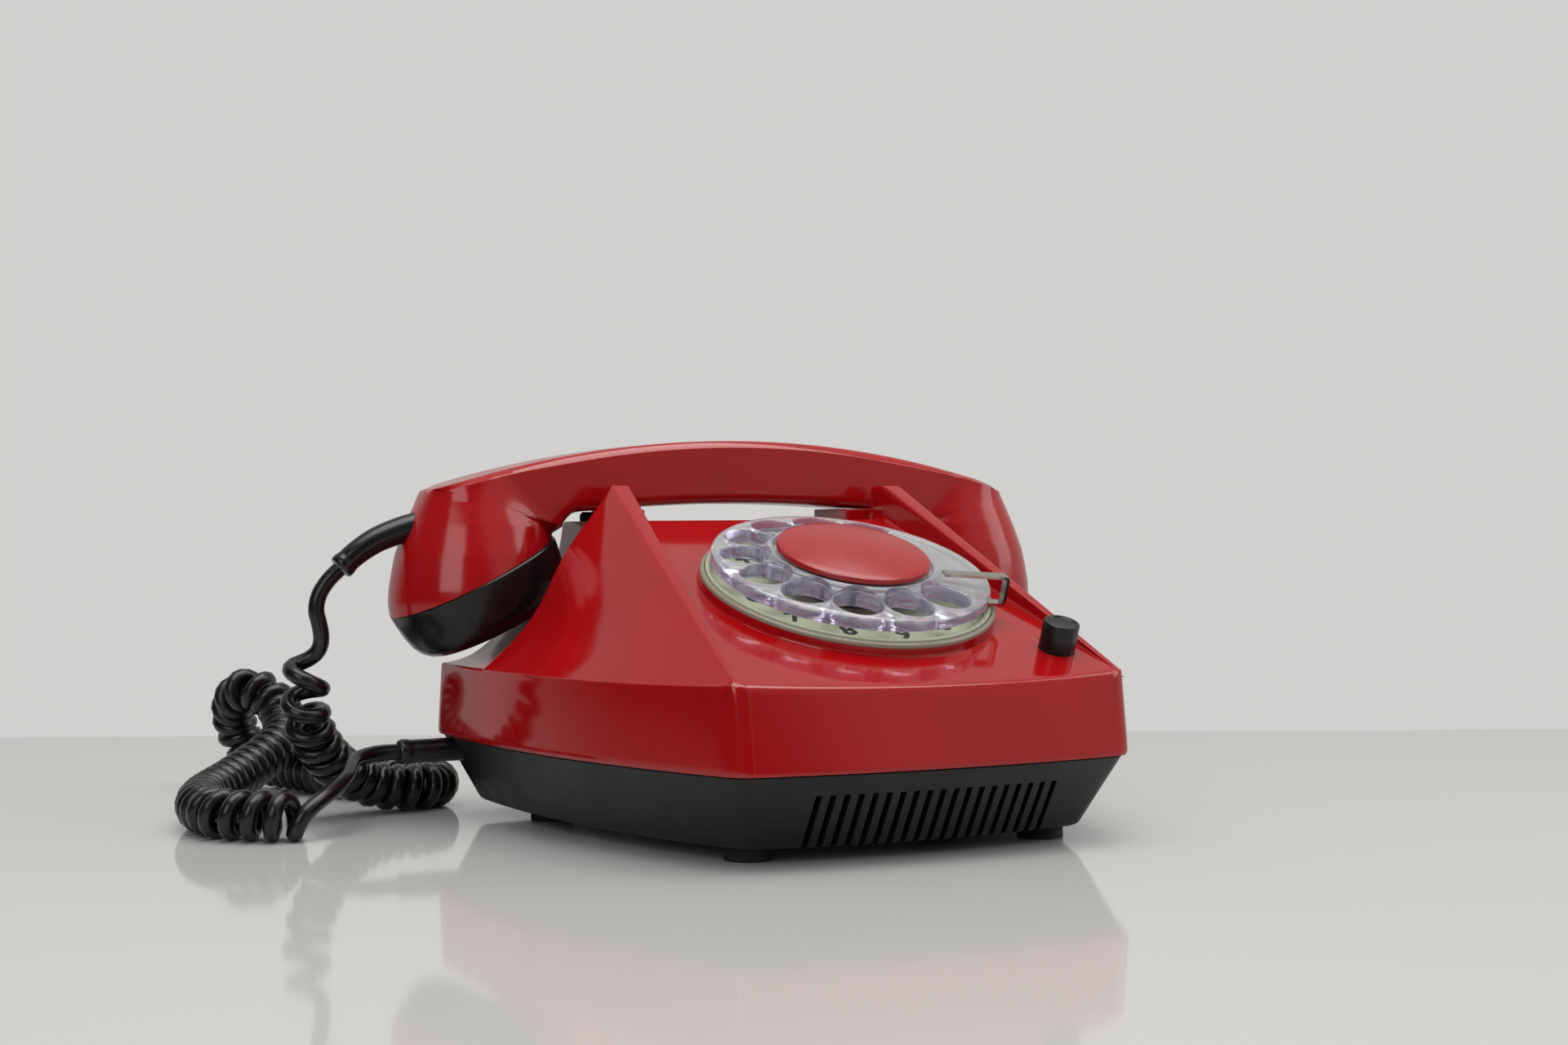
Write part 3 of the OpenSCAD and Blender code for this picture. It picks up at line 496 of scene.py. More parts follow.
def area_light(name, at, aim, size, power):
    """A soft rectangular lamp that looks at a point."""
    data = bpy.data.lights.new(name, 'AREA')
    data.shape = 'RECTANGLE'
    data.size, data.size_y = size
    data.energy = power
    lamp = bpy.data.objects.new(name, data)
    bpy.context.scene.collection.objects.link(lamp)
    lamp.location = at
    lamp.rotation_euler = (Vector(aim) - Vector(at)).to_track_quat('-Z', 'Y').to_euler()


def make_table():
    """A pale table top that ends where the wall begins."""
    ahead = camera_axes()[2]
    flat = Vector((ahead.x, ahead.y, 0)).normalized()
    side = Vector((flat.y, -flat.x, 0)) * TABLE_HALF
    origin = Vector((CAMERA_AT[0], CAMERA_AT[1], 0))
    far, near = origin + flat * TABLE_DEPTH, origin - flat * TABLE_BEHIND
    mesh = bpy.data.meshes.new("table")
    mesh.from_pydata([near - side, near + side, far + side, far - side], [], [(0, 1, 2, 3)])
    table = new_object("table", mesh)
    # Lacquered board, sprayed: pale grey, glossy enough to mirror what stands on it
    mat, tree, shader = start_material("lacquered_board_pale")
    drift_colour(tree, shader, surface_noise(tree, CLOUD), "#BEBDBA", "#B9B8B5")
    shader.inputs["Roughness"].default_value = 0.07
    shader.inputs["IOR"].default_value = 1.35
    mesh.materials.append(mat)


def make_world(looks):
    """A pale plain wall to the camera, a shaded room to the gloss, and an even fill on the object."""
    world = bpy.data.worlds.new("studio")
    world.use_nodes = True
    tree = world.node_tree
    tree.nodes.clear()
    path = add_node(tree, "ShaderNodeLightPath")
    mirrored = add_node(tree, "ShaderNodeMath",
                        links={0: path.outputs["Is Glossy Ray"], 1: path.outputs["Is Transmission Ray"]},
                        operation='MAXIMUM')
    wall = add_node(tree, "ShaderNodeBackground", {"Color": rgba("#D1D0CE"), "Strength": 1.0})
    fill = add_node(tree, "ShaderNodeBackground", {"Color": rgba("#E6E6E8"), "Strength": looks.fill})
    # What gloss shows of the room is darker low down to the front left
    sky = add_node(tree, "ShaderNodeTexCoord")
    toward = add_node(tree, "ShaderNodeVectorMath", {1: DARK_SIDE}, {0: sky.outputs["Generated"]},
                      operation='DOT_PRODUCT')
    shade = add_node(tree, "ShaderNodeMapRange",
                     {"From Min": 0.0, "From Max": 0.45, "To Min": 0.0, "To Max": 1.0},
                     {"Value": toward.outputs["Value"]}, interpolation_type='SMOOTHSTEP')
    tone = add_node(tree, "ShaderNodeMix", {"A": rgba("#B9B8B6"), "B": rgba("#3E3E40")},
                    {"Factor": shade.outputs["Result"]}, data_type='RGBA')
    room = add_node(tree, "ShaderNodeBackground", {"Strength": 1.0}, {"Color": tone.outputs[2]})
    lit = add_node(tree, "ShaderNodeMixShader",
                   links={0: mirrored.outputs[0], 1: fill.outputs[0], 2: room.outputs[0]})
    seen = add_node(tree, "ShaderNodeMixShader",
                    links={0: path.outputs["Is Camera Ray"], 1: lit.outputs[0], 2: wall.outputs[0]})
    add_node(tree, "ShaderNodeOutputWorld", links={"Surface": seen.outputs[0]})
    bpy.context.scene.world = world


def make_stage(looks):
    """The table, the wall and three soft lamps: metres, and watts as shares of the overhead one."""
    bpy.context.scene.view_settings.view_transform = 'Standard'
    make_table()
    make_world(looks)
    area_light("overhead", (0.05, -0.15, 1.5), (0, 0, 0.05), (1.6, 1.2), looks.key)
    area_light("front_left", (-1.3, -1.1, 0.9), (0, 0, 0.06), (1.0, 1.2), looks.key * 0.35)
    area_light("right", (1.3, -0.5, 0.9), (0, 0, 0.06), (0.8, 1.2), looks.key * 0.25)


# ---------------------------------------------------------------- cord

# The cord's course in millimetres, from the handset to the base; the coil's is its middle line
HANDSET_SLEEVE = [(-101, 60.5, 88.2), (-105.7, 60.5, 86.9), (-110.3, 60.5, 85.3), (-114.6, 60.5, 83.3),
                  (-119.8, 60.5, 79.8), (-124.3, 60.5, 75.7)]
HANDSET_LEAD = [(-124.6, 60.5, 75.4), (-127.8, 60.5, 72.3), (-130.6, 60.5, 68), (-131.5, 60.5, 63.4),
                (-130.6, 60.4, 59.6), (-129.2, 60.2, 55.6)]
COIL_ROUTE = [(-133.4, 60.4, 50.6), (-134.2, 60.6, 45.4), (-134.8, 60.9, 40), (-134.4, 62.2, 34.4),
              (-132.4, 65, 28.2), (-128, 69.3, 21.4), (-121.6, 74.4, 15.2), (-114, 78.6, 10.6),
              (-105, 80, 7.9), (-96.6, 80.4, 7.2), (-89.4, 84, 7.2), (-86.8, 91, 7.2),
              (-89.4, 98, 7.2), (-96, 104, 7.2), (-103, 112, 7.2), (-109, 123, 7.2),
              (-113, 135, 7.2), (-117, 148, 7.2), (-122, 161, 7.4), (-127, 171, 9.6),
              (-130.8, 174.6, 16.4), (-133.6, 172, 24.2), (-134, 165, 30.6), (-130.6, 158.4, 33.6),
              (-125.8, 155, 31.2), (-122.4, 151, 26.6), (-122.4, 144, 21.8), (-125.6, 134.4, 18.2),
              (-132.6, 124, 14.8), (-141.6, 113, 11.4), (-150.6, 100, 9), (-158.4, 86.4, 7.6),
              (-163.2, 72, 7.2), (-164.6, 58, 7.2), (-162, 45, 7.2), (-155, 37, 7.2),
              (-147, 32, 7.2), (-141.4, 29, 7.2), (-136.6, 26.8, 7.2)]
BASE_LEAD = [(-131, 28.6, 11.4), (-129.8, 34.6, 13.2), (-127.6, 42, 15), (-124.4, 50, 17.1),
             (-120.8, 57.6, 19), (-113.6, 62.6, 20.1), (-106.4, 63.4, 20.2)]
BASE_SLEEVE = [(-106.2, 63.4, 20.2), (-94, 63.4, 20.2), (-82, 63.4, 20.2), (-70.2, 63.4, 20.2)]
# Spacing of the route's points, points to a turn, and which way the coil winds
ROUTE_STEP, TURN_POINTS, COIL_HAND = 0.25, 16, -1
# How much of the route is loose below the handset, and opened up before the base
LOOSE_LENGTH, OPEN_LENGTH = 32, 52
# A lead leaves the coil on the side that faces this way
LEAD_SIDE = (0.9, -0.43, 0.15)
# Points to each side of a join that are eased, and how often
JOIN_REACH, JOIN_ROUNDS = 6, 24
# Radii along each sleeve, by share of its length
HANDSET_SLEEVE_R = [(0, 4.1), (0.1, 4.1), (0.88, 3.6), (0.93, 3.9), (0.98, 3.9), (1, 3.5)]
BASE_SLEEVE_R = [(0, 3.3), (0.02, 3.75), (0.07, 3.75), (0.1, 3.5), (1, 3.7)]


def coil_points(coil_r, tight, loose, open_end):
    """The helix round the coil's route, in millimetres: loose at its start, open at its end."""
    axis, length = evenly(catmull(COIL_ROUTE, 12), ROUTE_STEP)
    _, u, v = frames(axis, (1.0, 0.0, 0.0))
    s = np.linspace(0, length, len(axis))
    pitch = tight + (loose - tight) * np.clip(1 - s / LOOSE_LENGTH, 0, 1) ** 1.2
    pitch += (open_end - tight) * np.clip((s - length) / OPEN_LENGTH + 1, 0, 1) ** 0.8
    turns = np.concatenate([[0], np.cumsum(ROUTE_STEP / pitch[:-1])])
    count = int(turns[-1] * TURN_POINTS)
    at = np.interp(np.linspace(0, turns[-1], count), turns, np.arange(len(axis)))
    low = np.floor(at).astype(int).clip(0, len(axis) - 2)
    f = (at - low)[:, None]
    mid = axis[low] * (1 - f) + axis[low + 1] * f
    a = (2 * np.pi * np.linspace(0, turns[-1], count))[:, None]
    uu = u[low] * (1 - f) + u[low + 1] * f
    vv = v[low] * (1 - f) + v[low + 1] * f
    return mid + coil_r * (np.cos(a) * uu + COIL_HAND * np.sin(a) * vv)


def relax(path, join):
    """Ease a join of the path: points near it are drawn to the middle of their neighbours."""
    low, high = join - JOIN_REACH, join + JOIN_REACH
    for _ in range(JOIN_ROUNDS):
        near = (path[low - 1:high - 1] + path[low + 1:high + 1]) / 2
        path[low:high] = (path[low:high] + near) / 2


def make_cord(sizes):
    """The whole handset cord, its path in metres and its length."""
    d = sizes.cord_d / MM
    helix = coil_points(sizes.coil_r / MM, sizes.pitch / MM, sizes.pitch_loose / MM, sizes.pitch_open / MM)
    # The lead to the base runs on from where the last turn points its way
    ways = np.diff(helix, axis=0)[-TURN_POINTS:]
    first = int(np.argmax(helix[:TURN_POINTS] @ np.array(LEAD_SIDE)))
    last = len(helix) - TURN_POINTS - 1 + int(np.argmax(ways @ (np.array(BASE_LEAD[2]) - BASE_LEAD[0])))
    start = catmull([HANDSET_SLEEVE[-1]] + HANDSET_LEAD + [tuple(helix[first])], 3)[3:-1]
    end = catmull([tuple(helix[last])] + BASE_LEAD[1:], 3)[1:]
    path = np.concatenate([start, helix[first:last + 1], end])
    relax(path, len(start))
    relax(path, len(path) - len(end))
    # It lies on the table and not in it
    path[:, 2] = np.maximum(path[:, 2], d / 2 + 0.05)
    piece = tube("handset_cord", path, d / 2, 10, ["pvc_cord_extruded"])
    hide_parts("handset_lead", "coil_cord", "base_lead")
    length = float(np.linalg.norm(np.diff(path, axis=0), axis=1).sum()) * MM
    return piece, [tuple(p * MM) for p in path], length


def make_sleeve(name, route, radii, node):
    """A moulded strain relief: a taper with a lip at its mouth."""
    curve, length = evenly(catmull(route, 8), 0.5)
    s = np.linspace(0, length, len(curve))
    r = np.interp(s, [share * length for share, _ in radii], [radius for _, radius in radii])
    piece = tube(name, curve, r, 28, ["pvc_sleeve_moulded"])
    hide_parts(node)
    return piece


# ---------------------------------------------------------------- repeated shapes

def repeated(name, places, material, radius=1, depth=1, sides=32, box=(1, 1, 1), round_shape=True):
    """Rods or boxes on a list of places (matrices in mm), instanced by Geometry Nodes."""
    tree = bpy.data.node_groups.new(name + "_tree", 'GeometryNodeTree')
    tree.interface.new_socket("Geometry", in_out='INPUT', socket_type='NodeSocketGeometry')
    wide = tree.interface.new_socket("Radius", in_out='INPUT', socket_type='NodeSocketFloat')
    deep = tree.interface.new_socket("Depth", in_out='INPUT', socket_type='NodeSocketFloat')
    size = tree.interface.new_socket("Box Size", in_out='INPUT', socket_type='NodeSocketVector')
    tree.interface.new_socket("Geometry", in_out='OUTPUT', socket_type='NodeSocketGeometry')
    given = add_node(tree, "NodeGroupInput")
    if round_shape:
        shape = add_node(tree, "GeometryNodeMeshCone", {"Vertices": sides},
                         {"Radius Bottom": given.outputs["Radius"], "Radius Top": given.outputs["Radius"],
                          "Depth": given.outputs["Depth"]})
    else:
        shape = add_node(tree, "GeometryNodeMeshCube", links={"Size": given.outputs["Box Size"]})
    turn = add_node(tree, "GeometryNodeInputNamedAttribute", {"Name": "turn"}, data_type='QUATERNION')
    spread = add_node(tree, "GeometryNodeInstanceOnPoints",
                      links={"Points": given.outputs["Geometry"], "Instance": shape.outputs["Mesh"],
                             "Rotation": turn.outputs["Attribute"]})
    real = add_node(tree, "GeometryNodeRealizeInstances", links={"Geometry": spread.outputs["Instances"]})
    paint = add_node(tree, "GeometryNodeSetMaterial", {"Material": bpy.data.materials[material]},
                     {"Geometry": real.outputs["Geometry"]})
    add_node(tree, "NodeGroupOutput", links={0: paint.outputs["Geometry"]})
    mesh = bpy.data.meshes.new(name)
    mesh.from_pydata([m.to_translation() * MM for m in places], [], [])
    turns = mesh.attributes.new("turn", 'QUATERNION', 'POINT')
    turns.data.foreach_set("value", [c for m in places for c in m.to_quaternion()])
    piece = new_object(name, mesh)
    mod = piece.modifiers.new("repeat", 'NODES')
    mod.node_group = tree
    mod[wide.identifier] = radius * MM
    mod[deep.identifier] = depth * MM
    mod[size.identifier] = [v * MM for v in box]
    flatten(piece)
    bpy.data.node_groups.remove(tree)
    return piece


# ---------------------------------------------------------------- handset

# Half the handle's width, the top arc's height and radius, where the handle's end rounds off, and a
# cup's middle in the side view
HANDLE_HALF, TOP_Z, TOP_R, END_X, CUP_MID = 14.5, 114.3, 320.0, 84.6, 84.0
# Wall, bevel along the top, radius along the underside, and fillet from handle to cup
HANDSET_WALL, TOP_BEVEL, UNDER_R, FUSE = 2.2, 2.6, 3.4, 3.0
# Height, radius to the outer side and across, and radius towards the middle of a cup
CUP_LAYERS = [(56, 24.0, 24.4), (60, 24.5, 25.0), (65, 25.2, 25.2), (69, 25.0, 25.2), (75, 24.0, 25.2),
              (79.3, 23.1, 25.1), (81.5, 22.4, 25.0), (88, 20.0, 24.6), (92.5, 18.1, 22.0), (96, 16.6, 19.0),
              (99, 15.3, 16.5), (104, 13.5, 14.0)]


def top_line(x):
    """Height of the handset's arched top."""
    return TOP_Z - TOP_R + math.sqrt(TOP_R ** 2 - x * x)


def smooth_max(a, b, k):
    """The larger of two, with a fillet where they are close."""
    h = max(k - abs(a - b), 0) / k
    return max(a, b) + h * h * k / 4


def handset_half_width(x, z, handle):
    """Half width of the handset at a point of its side view; handle fades the handle out."""
    heights, outward, inward = zip(*CUP_LAYERS)
    across = float(np.interp(z, heights, outward))
    d = x - CUP_MID
    reach = across if d > 0 else float(np.interp(z, heights, inward))
    dome = across * math.sqrt(max(0.0, 1 - (d / reach) ** 2))
    past = max(0.0, x - END_X)
    bar = handle * math.sqrt(max(0.0, HANDLE_HALF ** 2 - past ** 2))
    if dome < 1e-6:
        return bar
    if bar < 1e-6:
        return dome
    return smooth_max(bar, dome, FUSE * min(1.0, dome / 6, bar / 6))


# Where each section of one half begins at the underside and ends at the top line, in the side view
SECTIONS = [((0, 94.6), (0, 114.3)), ((12, 94.46), (12, 114.07)), ((24, 94.05), (24, 113.4)),
            ((36, 93.4), (36.5, 112.2)), ((45, 92.75), (46.5, 110.9)), ((50, 92.4), (55, 109.5)),
            ((53, 92.2), (64, 107.8)), ((55.4, 91.7), (74, 105.6)), ((57.2, 90.4), (84, 103.0)),
            ((58.2, 89.2), (91.5, 100.9)), ((58.6, 88.5), (96, 99.55)), ((58.75, 88.0), (97.9, 98.9)),
            ((58.8, 87.7), (98.9, 98.0)), ((58.85, 87.3), (100.4, 95.2)), ((58.9, 86.9), (102.6, 90.9)),
            ((58.95, 86.5), (105.0, 84.8)), ((59, 86.1), (107.3, 77.3)), ((59, 85.7), (108.8, 70.2)),
            ((59, 85.4), (109.15, 65.2)), ((59, 85.22), (108.5, 60.62))]
# Places in that list: where the straight stretch round the ridge's end begins, the last section with a
# flat top, and the stretch over which the handle fades out
RIDGE_FIRST, RIDGE_SECTION, FADE = 10, 11, (12, 19)
# Steps from section to section, and points down a side and across half the top
SECTION_STEPS, SIDE_POINTS, TOP_POINTS = 5, 22, 7


def handset_section(a, b, handle, ridge, count):
    """Half a section from the top line down to the underside; ridge says that the top is flat."""
    a, b = np.array(a, float), np.array(b, float)
    span = np.linalg.norm(b - a)
    points = []
    for k in range(count + 1):
        u = 0.5 - 0.5 * math.cos(math.pi * k / count)
        if ridge:
            # Reach the side wall below the bevel of the top edge
            bevel = TOP_BEVEL * 0.9 / span
            u = bevel + k / count * (1 - bevel)
        x, z = b + (a - b) * u
        w = handset_half_width(x, z, handle)
        left = (1 - u) * span
        if handle > 0 and left < UNDER_R:
            w -= handle * min(w, UNDER_R - math.sqrt(max(0.0, UNDER_R ** 2 - (UNDER_R - left) ** 2)))
        points.append((x, w, z))
    return points


def fine_sections():
    """The sections of one half with more between them, each with its place in the list."""
    keys = np.array([[*a, *b] for a, b in SECTIONS], float)
    fine = []
    for i in range(len(keys) - 1):
        k0, k1, k2, k3 = keys[max(i - 1, 0)], keys[i], keys[i + 1], keys[min(i + 2, len(keys) - 1)]
        if i == 0:
            k0 = np.array([-keys[1][0], keys[1][1], -keys[1][2], keys[1][3]])
        for j in range(SECTION_STEPS):
            t = j / SECTION_STEPS
            # The ridge's end is a corner in the side view, so the curve is straight beside it
            if RIDGE_FIRST <= i <= FADE[0]:
                between = k1 * (1 - t) + k2 * t
            else:
                between = 0.5 * (2 * k1 + (k2 - k0) * t + (2 * k0 - 5 * k1 + 4 * k2 - k3) * t * t
                                 + (3 * k1 - k0 - 3 * k2 + k3) * t ** 3)
            fine.append((between, i + t))
    return fine + [(keys[-1], len(keys) - 1.0)]


def handset_ring(ax, az, bx, bz, at):
    """Half a ring of the shell, from the top's middle down the side to the underside's middle."""
    handle = float(np.interp(at, FADE, [1, 0]))
    if at > RIDGE_SECTION + 0.01:
        ring = handset_section((ax, az), (bx, bz), handle, False, SIDE_POINTS + TOP_POINTS - 1)
    else:
        half = handset_section((ax, az), (bx, bz), handle, True, SIDE_POINTS)
        x1, _, z1 = half[0]
        tz = top_line(bx)
        top_w = handset_half_width(bx, bz, 1.0)
        bevel = min(TOP_BEVEL, top_w * 0.6)
        top = [(bx, 0, tz), (bx, top_w * 0.4, tz), (bx, (top_w - bevel) * 0.9, tz - 0.02),
               (bx, top_w - bevel - 0.3, tz - 0.06), (bx, top_w - bevel + 0.2, tz - 0.25),
               (bx + (x1 - bx) * 0.8, top_w - 0.25, tz + (z1 - tz) * 0.8)]
        ring = top + half
    x, w, z = ring[-1]
    if w > 0.5:
        return ring + [(x, w * share, z) for share in (0.66, 0.33, 0)]
    return ring[:-1] + [(x, w * share, z) for share in (0.66, 0.5, 0.33, 0)]


def make_handset():
    """The red shell: sections turn from the handle round each cup to its seam."""
    rows = [handset_ring(*key, at) for key, at in fine_sections()]
    rows = [[(-x, y, z) for x, y, z in ring] for ring in rows[:0:-1]] + rows
    verts, faces = [], []
    per = 2 * len(rows[0]) - 2
    for ring in rows:
        loop = ring + [(x, -y, z) for x, y, z in ring[-2:0:-1]]
        verts += [(x, HANDSET_Y + y, z) for x, y, z in loop]
    for i in range(len(rows) - 1):
        for k in range(per):
            n = (k + 1) % per
            faces.append((i * per + k, i * per + n, (i + 1) * per + n, (i + 1) * per + k))
    piece = solid("handset_moulding", verts, faces, ["red_abs_handled"])
    give_wall(piece, HANDSET_WALL, even=True)
    # The cord's sleeve comes out here
    cut(piece, tube("hole", np.array([(-120, 60.5, 87.7), (-98, 60.5, 87.7)], float), 4.4, 32,
                    ["red_abs_handled"]))
    mark_sharp(piece, 26)
    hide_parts("handset_shell")
    return piece


# Depth, half length and half width of a screw cap's outline, outside first and then the hollow
CAP_OUTLINE = [(0.12, 27.35, 24.75), (0.5, 27.6, 25.05), (1.2, 27.6, 25.05), (4, 27.3, 24.8), (8, 26.7, 24.2),
               (11.6, 25.7, 23.3), (14.2, 24.2, 21.9), (15.9, 22.4, 20.2), (16.8, 20.4, 18.3),
               (17.1, 18.4, 16.4), (17.2, 15.5, 13.8), (17.2, 8, 7), (17.2, 0, 0), (14.4, 0, 0),
               (14.4, 19, 17), (13.4, 20.2, 18.2), (9, 22.2, 20.0), (4, 24.2, 21.9), (0.12, 24.8, 22.4)]
# Radius of a sound hole, and how deep the middle of the floor lies
SOUND_HOLE_R, CAP_FLOOR = 1.1, 15.8


def make_screw_cap(name, node, side, rings):
    """A black cap: an oval cup that screws to the shell, with rings of sound holes in its floor."""
    verts, faces = turned([(a, b, -d) for d, a, b in CAP_OUTLINE], 96, True)
    piece = solid(name, verts, faces, ["black_cap_moulded"], cup_frame(side))
    centres = [(r * math.cos(2 * math.pi * i / n), r * math.sin(2 * math.pi * i / n))
               for r, n in rings for i in range(n)]
    places = [cup_frame(side) @ Matrix.Translation((x, y, -CAP_FLOOR)) for x, y in centres]
    cut(piece, repeated("holes", places, "black_cap_moulded", SOUND_HOLE_R, 6, 16))
    mark_sharp(piece, 30)
    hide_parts(node)
    return piece


# ---------------------------------------------------------------- dial

# Outlines of the dial's parts are (radius, height over the dial face) in millimetres.
# The circle of digits: its radius, its turn past the finger holes in degrees, and the digits' size and height
DIGIT_R, DIGIT_TURN, DIGIT_SIZE, DIGIT_W = 32.6, -3.0, 8.2, 2.64
# Height of the middle of a finger hole, slope of the wheel's cone, and radius of the centre cap
HOLE_W, CONE_TILT, CAP_R = 8.4, math.radians(3.3), 22.1


def make_bezel():
    """The grey-brown rim that holds the number ring."""
    outline = rounded([(38, 0.02), (41.8, 0.02), (41.9, 2.5), (42.6, 2.5), (42.5, 3.4), (41.9, 3.8),
                       (41.3, 3.8), (41.3, 1.0), (38, 1.0)],
                      [0, 0, 0, 0.1, 0.35, 0.3, 0.2, 0.2, 0], 3)
    piece = lathe("dial_rim", outline, ["bezel_moulded"], dial_frame(), 128)
    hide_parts("dial_bezel")
    return piece


def make_dial_seat():
    """The low red collar of the housing that the dial's rim sits on."""
    outline = rounded([(41.9, 0.0), (42.9, 0.0), (42.65, 0.5), (42.6, 2.45), (41.9, 2.45)],
                      [0, 0, 0.3, 0.1, 0], 3)
    piece = lathe("dial_seat", outline, ["red_abs_moulded"], dial_frame(), 128)
    return piece


def make_number_ring():
    """The pale ring under the finger wheel, its colour darkened as painted shade, with its lip, and within it
    a dark disc of painted shade.
    """
    outline = rounded([(15.6, 1.2), (41.15, 1.2), (41.15, 4.2), (40.8, 4.5), (40.1, 4.5), (39.6, 4.0),
                       (39.2, 2.9), (38.4, 2.6), (15.6, 2.6)],
                      [0, 0, 0.2, 0.25, 0.25, 0.3, 0.3, 0.3, 0], 3)
    # The ring's colour is darkened to paint the finger wheel's shade on it
    ring = lathe("number_ring_moulding", outline, ["urea_ring_moulded"], dial_frame(), 128)
    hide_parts("number_ring")
    # The dark disc within the ring is painted shade under the finger wheel
    disc = lathe("number_ring_shade_disc", [(7, 1.2), (15.5, 1.2), (15.5, 2.2), (15.2, 2.3), (7, 2.3)],
                 ["urea_disc_dark"], dial_frame(), 96)
    return ring, disc


def make_digits():
    """Plain digits, printed on the number ring beside each finger hole."""
    meshes = []
    for i in range(10):
        digit = str((10 - i) % 10)
        angle = math.radians(HOLE_FIRST - i * HOLE_STEP + DIGIT_TURN)
        curve = bpy.data.curves.new("digit_" + digit, 'FONT')
        # A nine is a six turned upside down
        curve.body = "6" if digit == "9" else digit
        curve.size, curve.extrude, curve.offset = DIGIT_SIZE, 0.03, 0.3
        curve.align_x, curve.align_y = 'CENTER', 'CENTER'
        temp = bpy.data.objects.new("digit_" + digit, curve)
        bpy.context.scene.collection.objects.link(temp)
        graph = bpy.context.evaluated_depsgraph_get()
        mesh = bpy.data.meshes.new_from_object(temp.evaluated_get(graph), depsgraph=graph)
        bpy.data.objects.remove(temp, do_unlink=True)
        bpy.data.curves.remove(curve)
        at = Matrix.Translation((DIGIT_R * math.cos(angle), DIGIT_R * math.sin(angle), DIGIT_W))
        turn = Matrix.Rotation(math.pi if digit == "9" else 0, 4, 'Z')
        mesh.transform(dial_frame() @ at @ turn)
        mesh.transform(Matrix.Scale(MM, 4))
        meshes.append(mesh)
    piece = joined("dial_digits", meshes, "ink_black_baked")
    tidy(piece)
    return piece


def make_wheel():
    """The clear finger wheel, a shallow cone with ten holes that flare at both faces."""
    outline = rounded([(3.2, 6.6), (39.6, 6.1), (40.1, 6.6), (40.1, 9.0), (39.5, 9.6), (38.2, 9.9),
                       (25.6, 11.2), (24.6, 12.3), (23.2, 12.6), (22.6, 11.2), (3.2, 11.2)],
                      [0, 0.35, 0.35, 0.45, 0.4, 0.6, 0.9, 0.6, 0.3, 0.3, 0], 4)
    wheel = lathe("finger_wheel_moulding", outline, ["acrylic_clear_moulded"], dial_frame(), 160)
    profile = [(0, -6), (HOLE_R + 0.5, -6), (HOLE_R + 0.5, -2.05), (HOLE_R + 0.2, -1.8), (HOLE_R, -1.4),
               (HOLE_R, 1.1), (HOLE_R + 0.1, 1.5), (HOLE_R + 0.35, 1.85), (HOLE_R + 0.7, 2.05),
               (HOLE_R + 0.8, 6), (0, 6)]
    for i in range(10):
        angle = math.radians(HOLE_FIRST - i * HOLE_STEP)
        # Each hole is bored square to the wheel's cone
        place = (dial_frame() @ Matrix.Rotation(angle, 4, 'Z') @ Matrix.Translation((HOLE_RING_R, 0, HOLE_W))
                 @ Matrix.Rotation(CONE_TILT, 4, 'Y'))
        cut(wheel, lathe("hole", profile, ["acrylic_clear_moulded"], place, 48, closed=False))
    mark_sharp(wheel, 32)
    wheel.data.materials.clear()
    wheel.data.materials.append(bpy.data.materials["acrylic_clear_moulded"])
    wheel.data.materials.append(bpy.data.materials["acrylic_edge_polished"])
    # Rims and hole walls are edges and take the faint violet painted reflection; the faces across the axis
    # are clear
    axis = dial_frame().to_3x3() @ Vector((0, 0, 1))
    for face in wheel.data.polygons:
        face.material_index = 1 if abs(face.normal.dot(axis)) < 0.6 else 0
    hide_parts("finger_wheel")
    return wheel


def make_centre_cap():
    """The red domed cap in the middle of the wheel."""
    top = [(r, 14.1 + 2.3 * (1 - (r / CAP_R) ** 2)) for r in (21.3, 19.5, 17, 14, 11, 8, 5, 2.5, 0)]
    outline = [(0, 12.5), (CAP_R - 0.2, 12.5), (CAP_R, 12.7), (CAP_R, 13.5), (CAP_R - 0.25, 13.95)] + top
    piece = lathe("centre_cap_moulding", outline, ["red_abs_buffed"], dial_frame(), 128, closed=False)
    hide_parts("centre_cap")
    return piece


def make_button():
    """The black button: a straight stem with a rounded rim and a dished top."""
    r, h = BUTTON_R, BUTTON_H
    outline = [(0, -12), (3, -12), (3, -5), (r - 0.2, -5), (r, -4.8), (r, h - 0.5), (r - 0.06, h - 0.28),
               (r - 0.2, h - 0.12), (r - 0.42, h - 0.03), (r - 0.7, h), (r - 1.0, h - 0.06),
               (r - 1.2, h - 0.25), (r - 1.4, h - 0.4), (2.4, h - 0.5), (0, h - 0.55)]
    place = dial_frame() @ Matrix.Translation((BUTTON_U, BUTTON_V, 0))
    piece = lathe("button_moulding", outline, ["black_cap_moulded"], place, 64, closed=False)
    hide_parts("button_cap")
    return piece


# ---------------------------------------------------------------- housing

# The band's top edge in plan: half widths and reach at the front and rear, and the front's bow
TOP_FW, TOP_RW = FRONT_HALF + 0.1, REAR_HALF - 0.9
TOP_FY, TOP_RY, TOP_FB = FRONT_Y - 3.2, REAR_Y - 1.2, FRONT_BOW - 1
# How quickly the sides flare out behind the front, in plan
SIDE_POWER = 2.2
# The front corner's curve in plan: where it begins, what it aims at, and where it ends
CORNER_IN, CORNER_AT, CORNER_OUT = (54.75, -77.6), (TOP_FW, -TOP_FY), (61.0, -72.8)
# The cage has columns from the middle plane outwards and rows from front to rear. These are the last
# columns of the deck, of the ridge or ear, of its outer foot and of the flank
DECK_END, EAR_END, CREST_END, FLANK_END = 9, 17, 19, 29
# The last rows before the ridges' rear plane and down to the tower's rear edge
RIDGE_ROW, TOWER_ROW = 12, 23
COLS, ROWS = 31, 31
